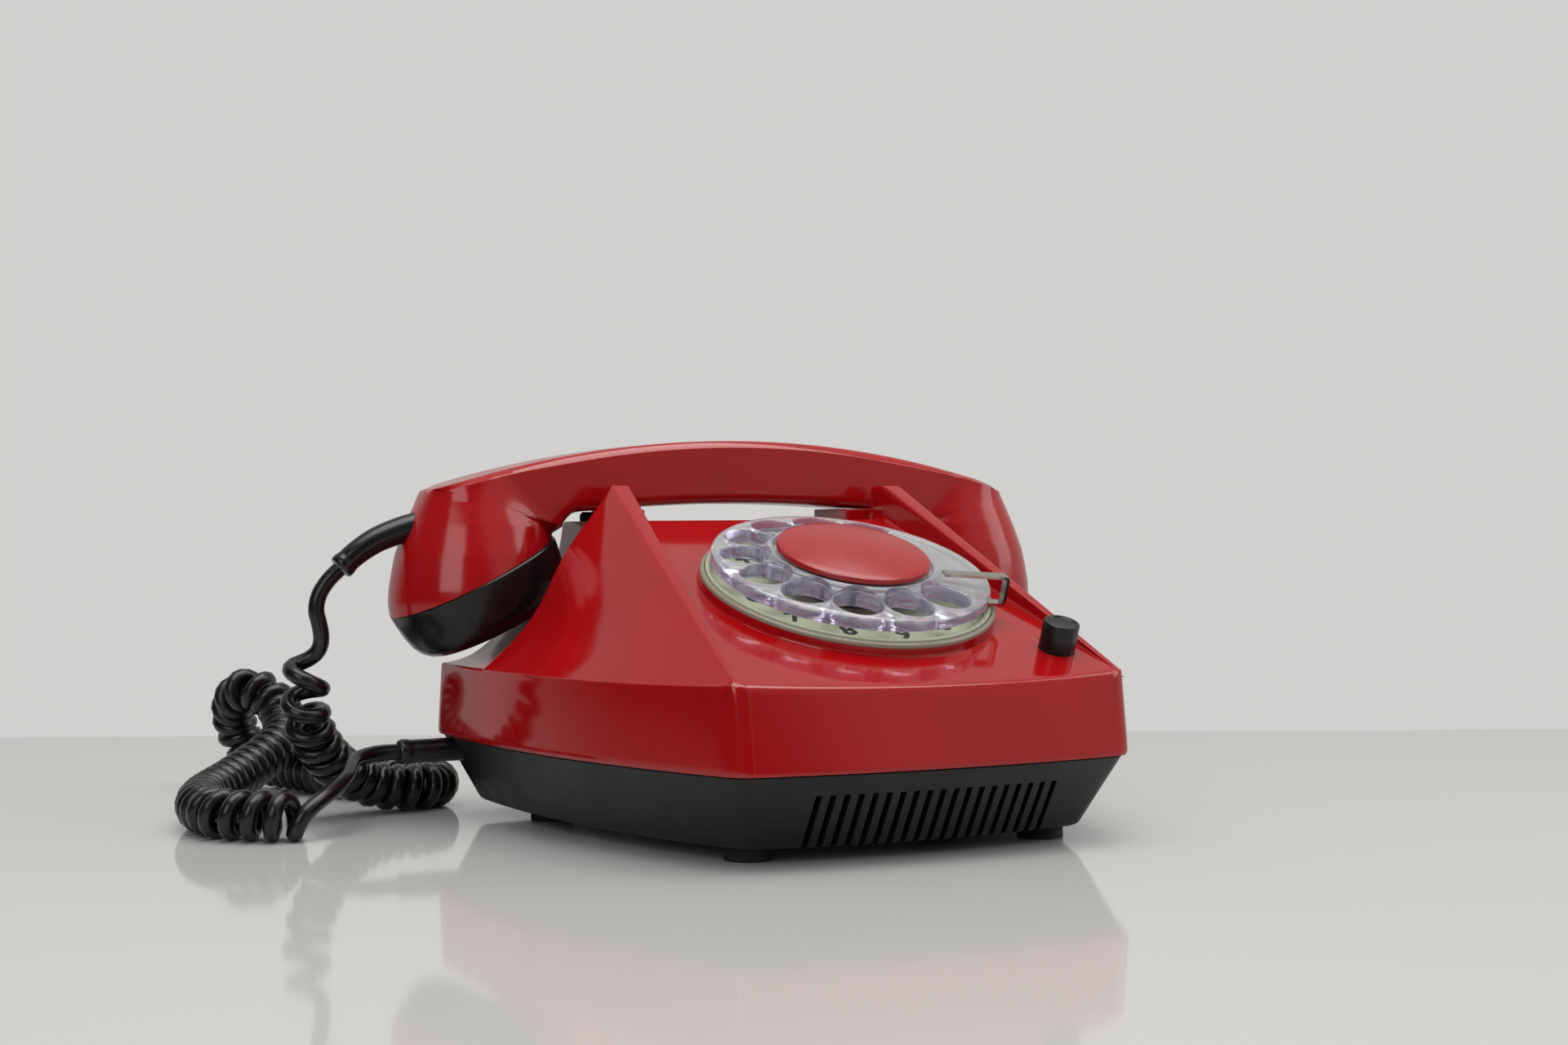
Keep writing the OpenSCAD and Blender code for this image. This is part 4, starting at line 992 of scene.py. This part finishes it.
# The tower's flank sweeps out to the ledge: x and z of its columns
FLANK = [(51.4, 89.2), (51.6, 88.2), (52.4, 80), (54, 74), (57.5, 68.6), (62, 63.8), (67, 59.4), (72, 55.3),
         (77, 51.4), (82, 48)]
# The same columns in front of the tower, as shares of the way from ridge to edge, and the foot's flare
FLANK_T = [0.02, 0.1, 0.2, 0.26, 0.41, 0.59, 0.73, 0.83, 0.9, 0.945, 0.97, 0.985, 0.994, 1.0]
FOOT = 4.2


def side_x(s, fw, rw):
    """Half width at a share s of the way back: the sides flare from front to rear."""
    return rw - (rw - fw) * max(0.0, 1 - s) ** SIDE_POWER


def top_half(y):
    """Half width of the band's top edge."""
    return side_x((y + TOP_FY) / (TOP_FY + TOP_RY), TOP_FW, TOP_RW)


def face_z(y):
    """Height of the sloping dial face."""
    return FACE_Z + (y - FACE_Y) * math.tan(TILT)


def ridge_z(y):
    """Height of the ridge that rises beside the face to the ear's top."""
    return max(face_z(y), FACE_Z + (y - FACE_Y) * (EAR_Z - FACE_Z) / (RIDGE_Y - FACE_Y))


def ridge_in(y):
    """The ridge's inner side."""
    return EAR_IN + 14.8 * (RIDGE_Y + 0.4 - y) / 118.2


def ridge_out(y):
    """The ridge's outer side."""
    return EAR_OUT + 9.2 * (RIDGE_Y - y) / 110.8


def front_line(x):
    """The bowed front edge in plan."""
    return -TOP_FY - TOP_FB * (1 - (x / TOP_FW) ** 2)


def front_corner(u):
    """The rounded front corner in plan, from the front edge at 0 to the side at 1."""
    return tuple((1 - u) ** 2 * a + 2 * u * (1 - u) * b + u * u * c
                 for a, b, c in zip(CORNER_IN, CORNER_AT, CORNER_OUT))


def rear_line(x):
    """The bowed rear edge in plan."""
    return TOP_RY + REAR_BOW * (1 - (x / TOP_RW) ** 2)


def edge_z(y):
    """Height of the band's top edge along the side."""
    return float(np.interp(y, [-77, -72, -55, -30], [face_z(-76.9), 47.1, 46.5, 46.2]))


FRONT_ROWS = [-76.9, -75.5, -72.6, -60, -45, -30, -15, 0, 12, 22, 30, 32.3, 33.4]
# The deck's columns at the tower, how far they bulge there, and their shares of its width at the front
DECK_X = [0, 12, 24, 33, 34.9, 36, 36, 36, 37.2, 40.3]
DECK_BULGE = [0, 0, 0, 0, 0, 0, 0.35, 0.7, 0.4, 0]
DECK_FRONT_X = [0, 0.2, 0.42, 0.6, 0.66, 0.71, 0.76, 0.81, 0.88, 0.94]


def front_column(i, j, y):
    """Column i across row y of the front, in x and z; z is None where it lies on the dial face."""
    xi, xo, half = ridge_in(y), ridge_out(y), top_half(y)
    zf, zr, ze = face_z(y), ridge_z(y), edge_z(y)
    if i <= DECK_END:
        blend = min(1.0, max(0.0, (j - 9) / 3))
        spread = DECK_FRONT_X[i] * (xi - 1.2) / 0.97
        return spread * (1 - blend) + (DECK_X[i] + DECK_BULGE[i]) * blend, None
    if i <= EAR_END:
        bevel, step = 0.9 * (xo - xi) / 5.9, 0.12 * (zr - zf)
        xs = [xi - 1.3, xi - 0.1, xi + 0.05, xi + 0.1, xi + 0.15, xi + bevel + 0.15, xo - bevel, xo]
        return xs[i - 10], [None, None, zf + step, zr - step, zr, zr, zr, zr][i - 10]
    t = FLANK_T[i - 18]
    flare = 0
    if i <= FLANK_END:
        # Towards the rear the flank's foot flares out
        flare = math.sin(math.pi * min(max((t - 0.45) / 0.55, 0), 1)) * min(max((y + 30) / 60, 0), 1)
    return xo + t * (half - xo) - FOOT * flare, zr + t * (ze - zr)


def front_point(i, j):
    """Rows from the front edge to the ridges' rear plane."""
    y = FRONT_ROWS[j]
    x, z = front_column(i, j, y)
    if j == 0:
        # The first row follows the front edge and its corner
        if i < 12:
            x = [x, 54.2, 54.5][max(0, i - DECK_END)]
            y = front_line(x)
        else:
            x, y = front_corner(0.5 * (i - 12) / 19)
        z = face_z(y)
    elif j == 1 and i <= DECK_END:
        y = front_line(x) + 1.4 + 0.5 * max(0, i - 6) / 3
        z = face_z(y)
    elif j == 1 and i > EAR_END:
        xo = ridge_out(y)
        ex, ey = front_corner(0.85)
        t = FLANK_T[i - 18]
        x, y = xo + t * (ex - xo), y + t * (ey - y)
    elif z is None:
        z = face_z(y)
    if j == RIDGE_ROW and i <= 11:
        z = TOWER_Z + 0.15
    return x, y, z


# Round the ear's two rear edges, row by row: offsets in x and from the rear face, and height
EAR_INNER = [[(0, -2.5, TOWER_Z), (0, -1.6, TOWER_Z), (0, -0.9, 90.2), (0, -0.8, 99.0), (0.4, -0.4, 100)],
             [(0, -0.9, TOWER_Z), (0, -0.1, TOWER_Z), (0, -0.45, 90.2), (0.25, -0.2, 98.8), (0.8, 0, 98.9)],
             [(0, 0.5, TOWER_Z), (0.1, 0.9, TOWER_Z), (0.15, -0.1, 90.1), (0.5, 0.02, 90.1), (0.9, 0, 90.1)]]
EAR_OUTER = [[(0.8, -0.4, 100), (0, -0.4, 100), (-0.4, -0.4, 100), (0.05, -0.8, 98.9), (0.3, -0.9, 90.2)],
             [(0.8, 0, 98.9), (0, 0, 98.9), (-0.8, 0, 98.9), (-0.15, -0.2, 98.8), (0.3, -0.45, 90.2)],
             [(0.8, 0, 90.1), (0, 0, 90.1), (-0.7, 0, 90.1), (-0.1, 0.02, 90.1), (0.2, -0.1, 90.1)]]


def ear_back(x):
    """The ear's slanting rear face."""
    return 43 - 5.4 * (min(max(x, EAR_IN), EAR_OUT) - EAR_IN) / 5.9


# The rows behind the ridges: on the tower and along the body's sides
MID_Y = dict(enumerate((34.4, 36.3, 37.4, 37.4, 37.4, 38.6, 45.4, 52, 60, 66.4, 68.2), 13))
SIDE_Y = dict(enumerate((33.9, 34.6, 35.4, 36.3, 37.4, 40, 44, 49, 54.5, 59.5, 63.6), 13))


def rear_of(z):
    """The tower's rear face, which leans."""
    return 69.4 + (TOWER_Z - z) * 6 / 43


def deck_point(i, j):
    """The cradle's deck behind the ridges, with the well between the two blocks."""
    x, y, z = DECK_X[i], MID_Y[j], TOWER_Z
    if j <= 15:
        x += {6: 0.35, 7: 0.7}.get(i, 0)
    elif i < 7:
        z = CRADLE_Z if i <= 5 and j > 16 else TOWER_Z - 0.9
    else:
        y = {16: 38.6, 17: 40.0}.get(j, 42.0 if j == 18 else y)
    return x, y, z


def ear_point(i, j):
    """The ear's rear end and the deck behind it."""
    if j > 17:
        x = [41.9, 42.7, 43.4, 44.2, 45.1, 46.2, 47.5, 48.9][i - 10]
        y = MID_Y[j]
        if j <= 19:
            y = ear_back(x) + {18: 0.05, 19: 1.8}[j] if i > 11 else {18: 43.8, 19: 45.4}[j]
        return x, y, TOWER_Z
    x = [41.9, 42.9, 43, 43, 43.05, 44.1, 47.8, 48.9][i - 10]
    if j > 14:
        dx, dy, z = EAR_INNER[j - 15][i - 10] if i <= 14 else EAR_OUTER[j - 15][i - 15]
        return x + dx, ear_back(x + dx) + dy, z
    z = [TOWER_Z, TOWER_Z, 90.2, 99.0, 100, 100, 100, 100][i - 10]
    y = {13: 34.4, 14: ear_back(x) - 2.2 if i > 11 else 38}[j]
    return x, y, z


def crest_point(i, j):
    """The ear's outer foot, where it meets the tower's flank."""
    if j <= 14:
        return (48.95, 49.2)[i - 18], {13: 34.4, 14: 36.2}[j], (98.9, 90.2)[i - 18]
    if j <= 17:
        dx, dy, z = EAR_OUTER[j - 15][i - 15]
        return EAR_OUT + dx, ear_back(EAR_OUT) + dy, z
    x = 49.6 if i == 18 else 50.4
    y = {18: (37.9, 38.1), 19: (39.4, 40.4)}[j][i - 18] if j <= 19 else MID_Y[j]
    return x, y, TOWER_Z


def middle_point(i, j):
    """Rows behind the ridges: the cradle, the ears' backs and the tower's flanks."""
    if i <= DECK_END:
        return deck_point(i, j)
    if i <= EAR_END:
        return ear_point(i, j)
    if i <= CREST_END:
        return crest_point(i, j)
    if i <= FLANK_END:
        tx, tz = FLANK[i - 20]
        sx, _, sz = front_point(i, RIDGE_ROW)
        d = math.hypot(sx - tx, sz - tz)
        k = min(0.9 / d, 0.35)
        if j == 13:
            return sx + (tx - sx) * k, RIDGE_Y + 0.02, sz + (tz - sz) * k
        if j == 14:
            return tx + (sx - tx) * k, RIDGE_Y + 0.04, tz + (sz - tz) * k
        y = {15: RIDGE_Y + 0.06, 16: 34.4, 17: 36.0, 18: 38.6}.get(j, MID_Y[j])
        return tx, y + (SIDE_Y[j] - y) * max(0, i - 25) / 5, tz
    half = top_half(SIDE_Y[j])
    return half - (1.4 if i == 30 else 0), SIDE_Y[j], LEDGE_Z


# Rows down the tower's rear face, as shares of its height
REAR_DROP = {24: 0.0, 25: 0.03, 26: 0.35, 27: 0.7, 28: 0.97, 29: 1.0}
# Round the rear corner: angle in degrees and shift in y of the last rows
REAR_TURN = {24: (0, -2.2), 25: (0, -0.4), 26: (7, 0), 27: (14, 0), 28: (21, 0), 29: (29, 0), 30: (37, 0)}
REAR_CORNER_R = 5


def rear_point(i, j):
    """Rows down the tower's rear face and along the rear ledge."""
    # The corner of the boundary is an arc
    r = REAR_CORNER_R
    cx, cy = TOP_RW - r, rear_line(TOP_RW - r) - r
    if i > FLANK_END and j < ROWS:
        degrees, shift = REAR_TURN[j]
        a = math.radians(degrees)
        out = r - (1.4 if i == 30 else 0)
        return cx + out * math.cos(a) - 0.02, cy + shift + out * math.sin(a), LEDGE_Z
    if j == ROWS and i >= 28:
        a = math.radians({31: 45, 30: 60, 29: 75, 28: 90}[i])
        return cx + r * math.cos(a), cy + r * math.sin(a), LEDGE_Z
    x, _, zc = middle_point(i, 21)
    if i == 5:
        x = 35.6
    if j == ROWS:
        return x, rear_line(x), LEDGE_Z
    limit = rear_line(x) - 0.9
    if i >= 28:
        # The ledge columns run on beside the corner
        a = math.radians({28: 90, 29: 75}[i])
        ex, ey = cx + (r - 1) * math.cos(a), cy + (r - 1) * math.sin(a)
        f = (j - TOWER_ROW) / 7
        x, y, _ = middle_point(i, TOWER_ROW)
        return x + (ex - x) * f, y + (ey - y) * f, LEDGE_Z + (zc - LEDGE_Z) * (1 - f)
    if j == 30:
        return x, min(rear_of(LEDGE_Z) + 0.45, rear_line(x) - 0.5), LEDGE_Z
    z = zc + (LEDGE_Z - zc) * REAR_DROP[j]
    top_y = min(rear_of(zc), limit - 1.5)
    foot_y = min(rear_of(LEDGE_Z), limit)
    f = 1.0 if j == 29 else (zc - z) / max(zc - LEDGE_Z, 1e-3)
    return x, top_y + (foot_y - top_y) * f, z


def housing_point(i, j):
    """Point of the cage at column i and row j."""
    if j <= RIDGE_ROW:
        return front_point(i, j)
    if j <= TOWER_ROW:
        return middle_point(i, j)
    return rear_point(i, j)


# Rings of the band from its top edge down: share of the way, and inset of the lower lip
BAND_RINGS = ((0.045, 0), (0.35, 0), (0.7, 0), (0.93, 0), (0.965, 0), (1.0, 0.55))
HOUSING_WALL = 2.0


def band_point(p, f, inset=0.0):
    """A point of the band under the boundary point p, a share f of the way down."""
    x, y, z = p
    s = min(1.0, max(0.0, (y + TOP_FY) / (TOP_FY + TOP_RY)))
    grow = side_x(s, FRONT_HALF, REAR_HALF) / side_x(s, TOP_FW, TOP_RW)
    # The band leans out: its lower edge is further forward at the front and further back at the rear
    dy = -3.2 + 4.4 * s
    if s <= 0:
        dy -= 1 - (x / TOP_FW) ** 2
    q = Vector((x * (1 + (grow - 1) * f), y + dy * f, z + (BAND_Z - z) * f))
    if inset:
        centre = Vector((0, q.y * 0.82, q.z))
        q += (centre - q).normalized() * inset
    return tuple(q)


def make_housing():
    """The red housing, one moulded shell over a cage with close edge loops."""
    verts, faces = [], []
    span = 2 * COLS + 1
    for j in range(ROWS + 1):
        for i in range(-COLS, COLS + 1):
            x, y, z = housing_point(abs(i), j)
            verts.append((math.copysign(x, i) if i else 0.0, y, z))
    for j in range(ROWS):
        for i in range(span - 1):
            a = j * span + i
            faces.append((a, a + 1, a + span + 1, a + span))
    loop = [*range(span), *(j * span + span - 1 for j in range(1, ROWS + 1)),
            *(ROWS * span + i for i in range(span - 2, -1, -1)), *(j * span for j in range(ROWS - 1, 0, -1))]
    before = loop
    for f, inset in BAND_RINGS:
        ring = []
        for index in loop:
            ring.append(len(verts))
            verts.append(band_point(verts[index], f, inset))
        for k in range(len(loop)):
            n = (k + 1) % len(loop)
            faces.append((before[k], ring[k], ring[n], before[n]))
        before = ring
    piece = solid("housing_moulding", verts, faces, ["red_abs_moulded"])
    subdivide(piece, 1)
    tidy(piece)
    give_wall(piece, HOUSING_WALL)
    for name, place, radius in (
            ("dial_opening", dial_frame(), 36.4),
            ("button_opening", dial_frame() @ Matrix.Translation((BUTTON_U, BUTTON_V, 0)), BUTTON_R + 0.12),
            ("plunger_opening_left", Matrix.Translation((-46.4, HANDSET_Y, TOWER_Z)), 2.9),
            ("plunger_opening_right", Matrix.Translation((46.4, HANDSET_Y, TOWER_Z)), 2.9)):
        cut(piece, lathe(name, [(0, -5), (radius, -5), (radius, 3), (0, 3)], ["red_abs_moulded"], place, 64,
                         closed=False))
    mark_sharp(piece, 50)
    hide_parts("housing")
    return piece


def rounded_block(name, low, high, r, slots):
    """A block with rounded edges: a cage with close loops, subdivided."""
    axes = [(a, a + r, b - r, b) for a, b in zip(low, high)]
    verts, index, faces = [], {}, []

    def vert(*at):
        if at not in index:
            index[at] = len(verts)
            verts.append(tuple(axis[k] for axis, k in zip(axes, at)))
        return index[at]

    for a in range(3):
        for b in range(3):
            square = ((a, b), (a + 1, b), (a + 1, b + 1), (a, b + 1))
            for end in (0, 3):
                faces.append([vert(end, p, q) for p, q in square])
                faces.append([vert(p, end, q) for p, q in square])
                faces.append([vert(p, q, end) for p, q in square])
    piece = solid(name, verts, faces, slots)
    subdivide(piece, 2)
    return piece


# Middle and half width across, front and rear, top, and rounding of a cradle block
SADDLE_X, SADDLE_HALF, SADDLE_Y, SADDLE_TOP, SADDLE_EDGE = 39, 4.4, (42.4, 66), 92.7, 0.7


def make_saddles():
    """The two red blocks of the cradle that the handle rests over."""
    blocks = [rounded_block("saddle_%d" % side,
                            (side * SADDLE_X - SADDLE_HALF, SADDLE_Y[0], TOWER_Z - 1.5),
                            (side * SADDLE_X + SADDLE_HALF, SADDLE_Y[1], SADDLE_TOP),
                            SADDLE_EDGE, ["red_abs_moulded"]) for side in (-1, 1)]
    piece = joined("cradle_saddles", [block.data for block in blocks], "red_abs_moulded")
    return piece


# ---------------------------------------------------------------- base

BASE_LOW, BASE_HIGH, BASE_FLOOR = 4.0, 24.3, 6.4
# Half widths at the front and rear and reach to the front and rear, at the floor and at the rim
PLAN_LOW = (50.7, 79.5, 66.5, 70.0)
PLAN_HIGH = (FRONT_HALF - 1.5, REAR_HALF - 1.5, FRONT_Y - 1.5, REAR_Y - 1.5)
# Rings of the wall from the rim down: share of the height for the plan, inset, and height if not the same
BASE_RINGS = [(1.0, 2.4, 24.22), (1.0, 0.35, 24.25), (0.985, 0.0, 23.95), (0.7, 0.0, None), (0.35, 0.0, None),
              (0.07, 0.0, None), (0.03, 0.12, None), (0.0, 0.75, 4.06), (0.0, 1.5, 4.0)]
# Vent slots: how many, their spacing and the box that cuts one
SLOTS, SLOT_STEP, SLOT_SIZE = 19, 70.8 / 18, (1.7, 40, 15.6)
# Where the screw wells and the seats of the feet are
WELLS = ((-58, -8), (58, -8), (-62, 52), (62, 52))
FEET = ((-45, -55.5), (45, -55.5), (-65, 42), (65, 42))


def arc(a, b, c, steps):
    """Points of a quadratic curve from a to c that aims at b, without a itself."""
    return [tuple((1 - t) ** 2 * p + 2 * t * (1 - t) * q + t * t * r for p, q, r in zip(a, b, c))
            for t in (k / steps for k in range(1, steps + 1))]


def plan_loop(fw, rw, fy, ry, fb, rb):
    """The body's outline in plan, with rounded corners, as a closed loop of points."""
    half = [(x, -fy - fb * (1 - (x / fw) ** 2)) for x in ((fw - 3) * k / 14 for k in range(15))]
    first, last = 0.02, (ry - 5 + fy) / (fy + ry)
    half += arc(half[-1], (fw, -fy), (side_x(first, fw, rw), -fy + first * (fy + ry)), 6)
    for k in range(1, 25):
        s = first + (last - first) * k / 24
        half.append((side_x(s, fw, rw), -fy + s * (fy + ry)))
    half += arc(half[-1], (rw, ry), (rw - 5, ry + 0.1 * rb), 8)
    half += [(x, ry + rb * (1 - (x / rw) ** 2)) for x in ((rw - 5) * k / 14 for k in range(13, -1, -1))]
    return half + [(-x, y) for x, y in half[-2:0:-1]]


def base_ring(f, inset):
    """The base's outline, a share f of the way up from its floor to its top."""
    fw, rw, fy, ry = (a + (b - a) * f - inset for a, b in zip(PLAN_LOW, PLAN_HIGH))
    return plan_loop(fw, rw, fy, ry, FRONT_BOW, REAR_BOW)


def make_base():
    """The black base: a flared tray with vent slots, screw wells and cord outlets."""
    verts, faces, loops = [], [], []
    for f, inset, z in BASE_RINGS:
        z = BASE_LOW + (BASE_HIGH - BASE_LOW) * f if z is None else z
        loop = base_ring(f, inset)
        loops.append(list(range(len(verts), len(verts) + len(loop))))
        verts += [(x, y, z) for x, y in loop]
    faces.append(loops[-1][::-1])
    n = len(loops[0])
    for a, b in zip(loops, loops[1:]):
        faces += [(a[k], a[(k + 1) % n], b[(k + 1) % n], b[k]) for k in range(n)]
    inside = list(range(len(verts), len(verts) + n))
    verts += [(x, y, BASE_FLOOR) for x, y in base_ring(0.12, 2.6)]
    faces += [(loops[0][k], inside[k], inside[(k + 1) % n], loops[0][(k + 1) % n]) for k in range(n)]
    faces.append(inside)
    finish = "black_abs_satin"
    piece = solid("base_moulding", verts, faces, [finish])
    middle = (SLOTS - 1) / 2
    cut(piece, repeated("vent_slots", [Matrix.Translation(((i - middle) * SLOT_STEP, -80, 10.8))
                                       for i in range(SLOTS)], finish, box=SLOT_SIZE, round_shape=False))
    cut(piece, repeated("screw_wells", [Matrix.Translation((*at, 3)) for at in WELLS], finish, 3.4, 8))
    cut(piece, repeated("foot_seats", [Matrix.Translation((*at, 3)) for at in FEET], finish, 6.55, 2, 48))
    cut(piece, tube("outlet", np.array([(-100, 63.4, 20.2), (-70, 63.4, 20.2)], float), 3.5, 32, [finish]))
    cut(piece, tube("inlet", np.array([(30, 60, 15), (30, 90, 15)], float), 4.0, 32, [finish], up=(0, 0, 1)))
    mark_sharp(piece, 30)
    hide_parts("base_shell")
    return piece


# ---------------------------------------------------------------- properties

class TELEPHONE_PG_looks(bpy.types.PropertyGroup):
    red: bpy.props.StringProperty(name="Red", description="sRGB hex colour of the red plastic",
                                  default="#A00A0E")
    red_dark: bpy.props.StringProperty(name="Red, darker", description="The red's darker mottle",
                                       default="#8C090D")
    black: bpy.props.StringProperty(name="Black", description="sRGB hex colour of the base",
                                    default="#17181A")
    black_dark: bpy.props.StringProperty(name="Black, darker", description="The black's darker mottle",
                                         default="#101113")
    # The tint's faint violet is a painted reflection
    acrylic: bpy.props.StringProperty(name="Acrylic", description="Tint of the clear finger wheel",
                                      default="#EFEDF4")
    key: bpy.props.FloatProperty(name="Key light", description="Power of the overhead light in watts",
                                 default=22.0, min=0.0)
    fill: bpy.props.FloatProperty(name="Fill", description="Strength of the world's light on the object",
                                  default=0.62, min=0.0)


class TELEPHONE_PG_cord(bpy.types.PropertyGroup):
    cord_d: bpy.props.FloatProperty(name="Cord diameter", description="Diameter of the cord itself",
                                    default=0.0048, unit='LENGTH')
    coil_r: bpy.props.FloatProperty(name="Coil radius", description="Radius of the cord's middle in a turn",
                                    default=0.005, unit='LENGTH')
    pitch: bpy.props.FloatProperty(name="Pitch", description="Distance from turn to turn",
                                   default=0.0055, unit='LENGTH')
    pitch_loose: bpy.props.FloatProperty(name="Loose pitch", description="Pitch where the coil hangs",
                                         default=0.0115, unit='LENGTH')
    pitch_open: bpy.props.FloatProperty(name="Open pitch", description="Pitch at the coil's other end",
                                        default=0.0066, unit='LENGTH')


# ---------------------------------------------------------------- operators

class TELEPHONE_OT_stage(bpy.types.Operator):
    """Make the finishes, the camera, the table, the wall's colour and the lights"""
    bl_idname = "telephone.stage"
    bl_label = "Stage"

    def execute(self, context):
        looks = context.scene.telephone_looks
        make_camera()
        make_materials(looks)
        dress_frame()
        make_stage(looks)
        return {'FINISHED'}


class TELEPHONE_OT_cord(bpy.types.Operator):
    """Make the coiled handset cord and the sleeves at its two ends"""
    bl_idname = "telephone.cord"
    bl_label = "Cord"

    def execute(self, context):
        piece, path, length = make_cord(context.scene.telephone_cord)
        top = make_sleeve("handset_cord_sleeve", HANDSET_SLEEVE, HANDSET_SLEEVE_R, "handset_sleeve")
        low = make_sleeve("base_cord_sleeve", BASE_SLEEVE, BASE_SLEEVE_R, "base_sleeve")
        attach(top, "handset")
        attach(low, "body")
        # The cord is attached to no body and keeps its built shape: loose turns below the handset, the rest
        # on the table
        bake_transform(piece)
        return {'FINISHED'}


class TELEPHONE_OT_handset(bpy.types.Operator):
    """Make the handset's red shell and its two black screw caps"""
    bl_idname = "telephone.handset"
    bl_label = "Handset"

    def execute(self, context):
        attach(make_handset(), "handset")
        for name, node, side, rings in (
                ("ear_cap_moulding", "ear_cap", 1, ((0, 1), (5, 6), (10, 12))),
                ("mouth_cap_moulding", "mouth_cap", -1, ((0, 1), (4.5, 6), (9, 10), (13.5, 16)))):
            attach(make_screw_cap(name, node, side, rings), "handset")
        return {'FINISHED'}


class TELEPHONE_OT_dial(bpy.types.Operator):
    """Make the dial: its rim, number ring, digits, finger wheel and centre cap"""
    bl_idname = "telephone.dial"
    bl_label = "Dial"

    def execute(self, context):
        for piece in (make_dial_seat(), make_bezel(), *make_number_ring(), make_digits()):
            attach(piece, "body")
        for piece in (make_wheel(), make_centre_cap()):
            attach(piece, "dial")
        return {'FINISHED'}


class TELEPHONE_OT_button(bpy.types.Operator):
    """Make the push button beside the dial"""
    bl_idname = "telephone.button"
    bl_label = "Button"

    def execute(self, context):
        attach(make_button(), "button")
        return {'FINISHED'}


class TELEPHONE_OT_housing(bpy.types.Operator):
    """Make the red housing and the two blocks of its cradle"""
    bl_idname = "telephone.housing"
    bl_label = "Housing"

    def execute(self, context):
        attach(make_housing(), "body")
        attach(make_saddles(), "body")
        return {'FINISHED'}


class TELEPHONE_OT_base(bpy.types.Operator):
    """Make the black base with its vent slots"""
    bl_idname = "telephone.base"
    bl_label = "Base"

    def execute(self, context):
        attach(make_base(), "body")
        return {'FINISHED'}


CLASSES = (TELEPHONE_PG_looks, TELEPHONE_PG_cord, TELEPHONE_OT_stage, TELEPHONE_OT_cord,
           TELEPHONE_OT_handset, TELEPHONE_OT_dial, TELEPHONE_OT_button, TELEPHONE_OT_housing,
           TELEPHONE_OT_base)
STEPS = ("stage", "cord", "handset", "dial", "button", "housing", "base")


class TELEPHONE_PT_panel(bpy.types.Panel):
    """Lists the telephone's sizes, its looks and the steps that build it"""
    bl_idname = "TELEPHONE_PT_panel"
    bl_label = "Telephone"
    bl_space_type = 'VIEW_3D'
    bl_region_type = 'UI'
    bl_category = "Telephone"

    def draw(self, context):
        for group in (context.scene.telephone_looks, context.scene.telephone_cord):
            box = self.layout.box()
            for key in group.__annotations__:
                box.prop(group, key)
        for step in STEPS:
            self.layout.operator("telephone." + step)


def register():
    for cls in CLASSES:
        bpy.utils.register_class(cls)
    bpy.utils.register_class(TELEPHONE_PT_panel)
    bpy.types.Scene.telephone_looks = bpy.props.PointerProperty(type=TELEPHONE_PG_looks)
    bpy.types.Scene.telephone_cord = bpy.props.PointerProperty(type=TELEPHONE_PG_cord)


def unregister():
    del bpy.types.Scene.telephone_cord
    del bpy.types.Scene.telephone_looks
    bpy.utils.unregister_class(TELEPHONE_PT_panel)
    for cls in reversed(CLASSES):
        bpy.utils.unregister_class(cls)


def main():
    register()
    for step in STEPS:
        getattr(bpy.ops.telephone, step)()


if __name__ == "__main__":
    main()
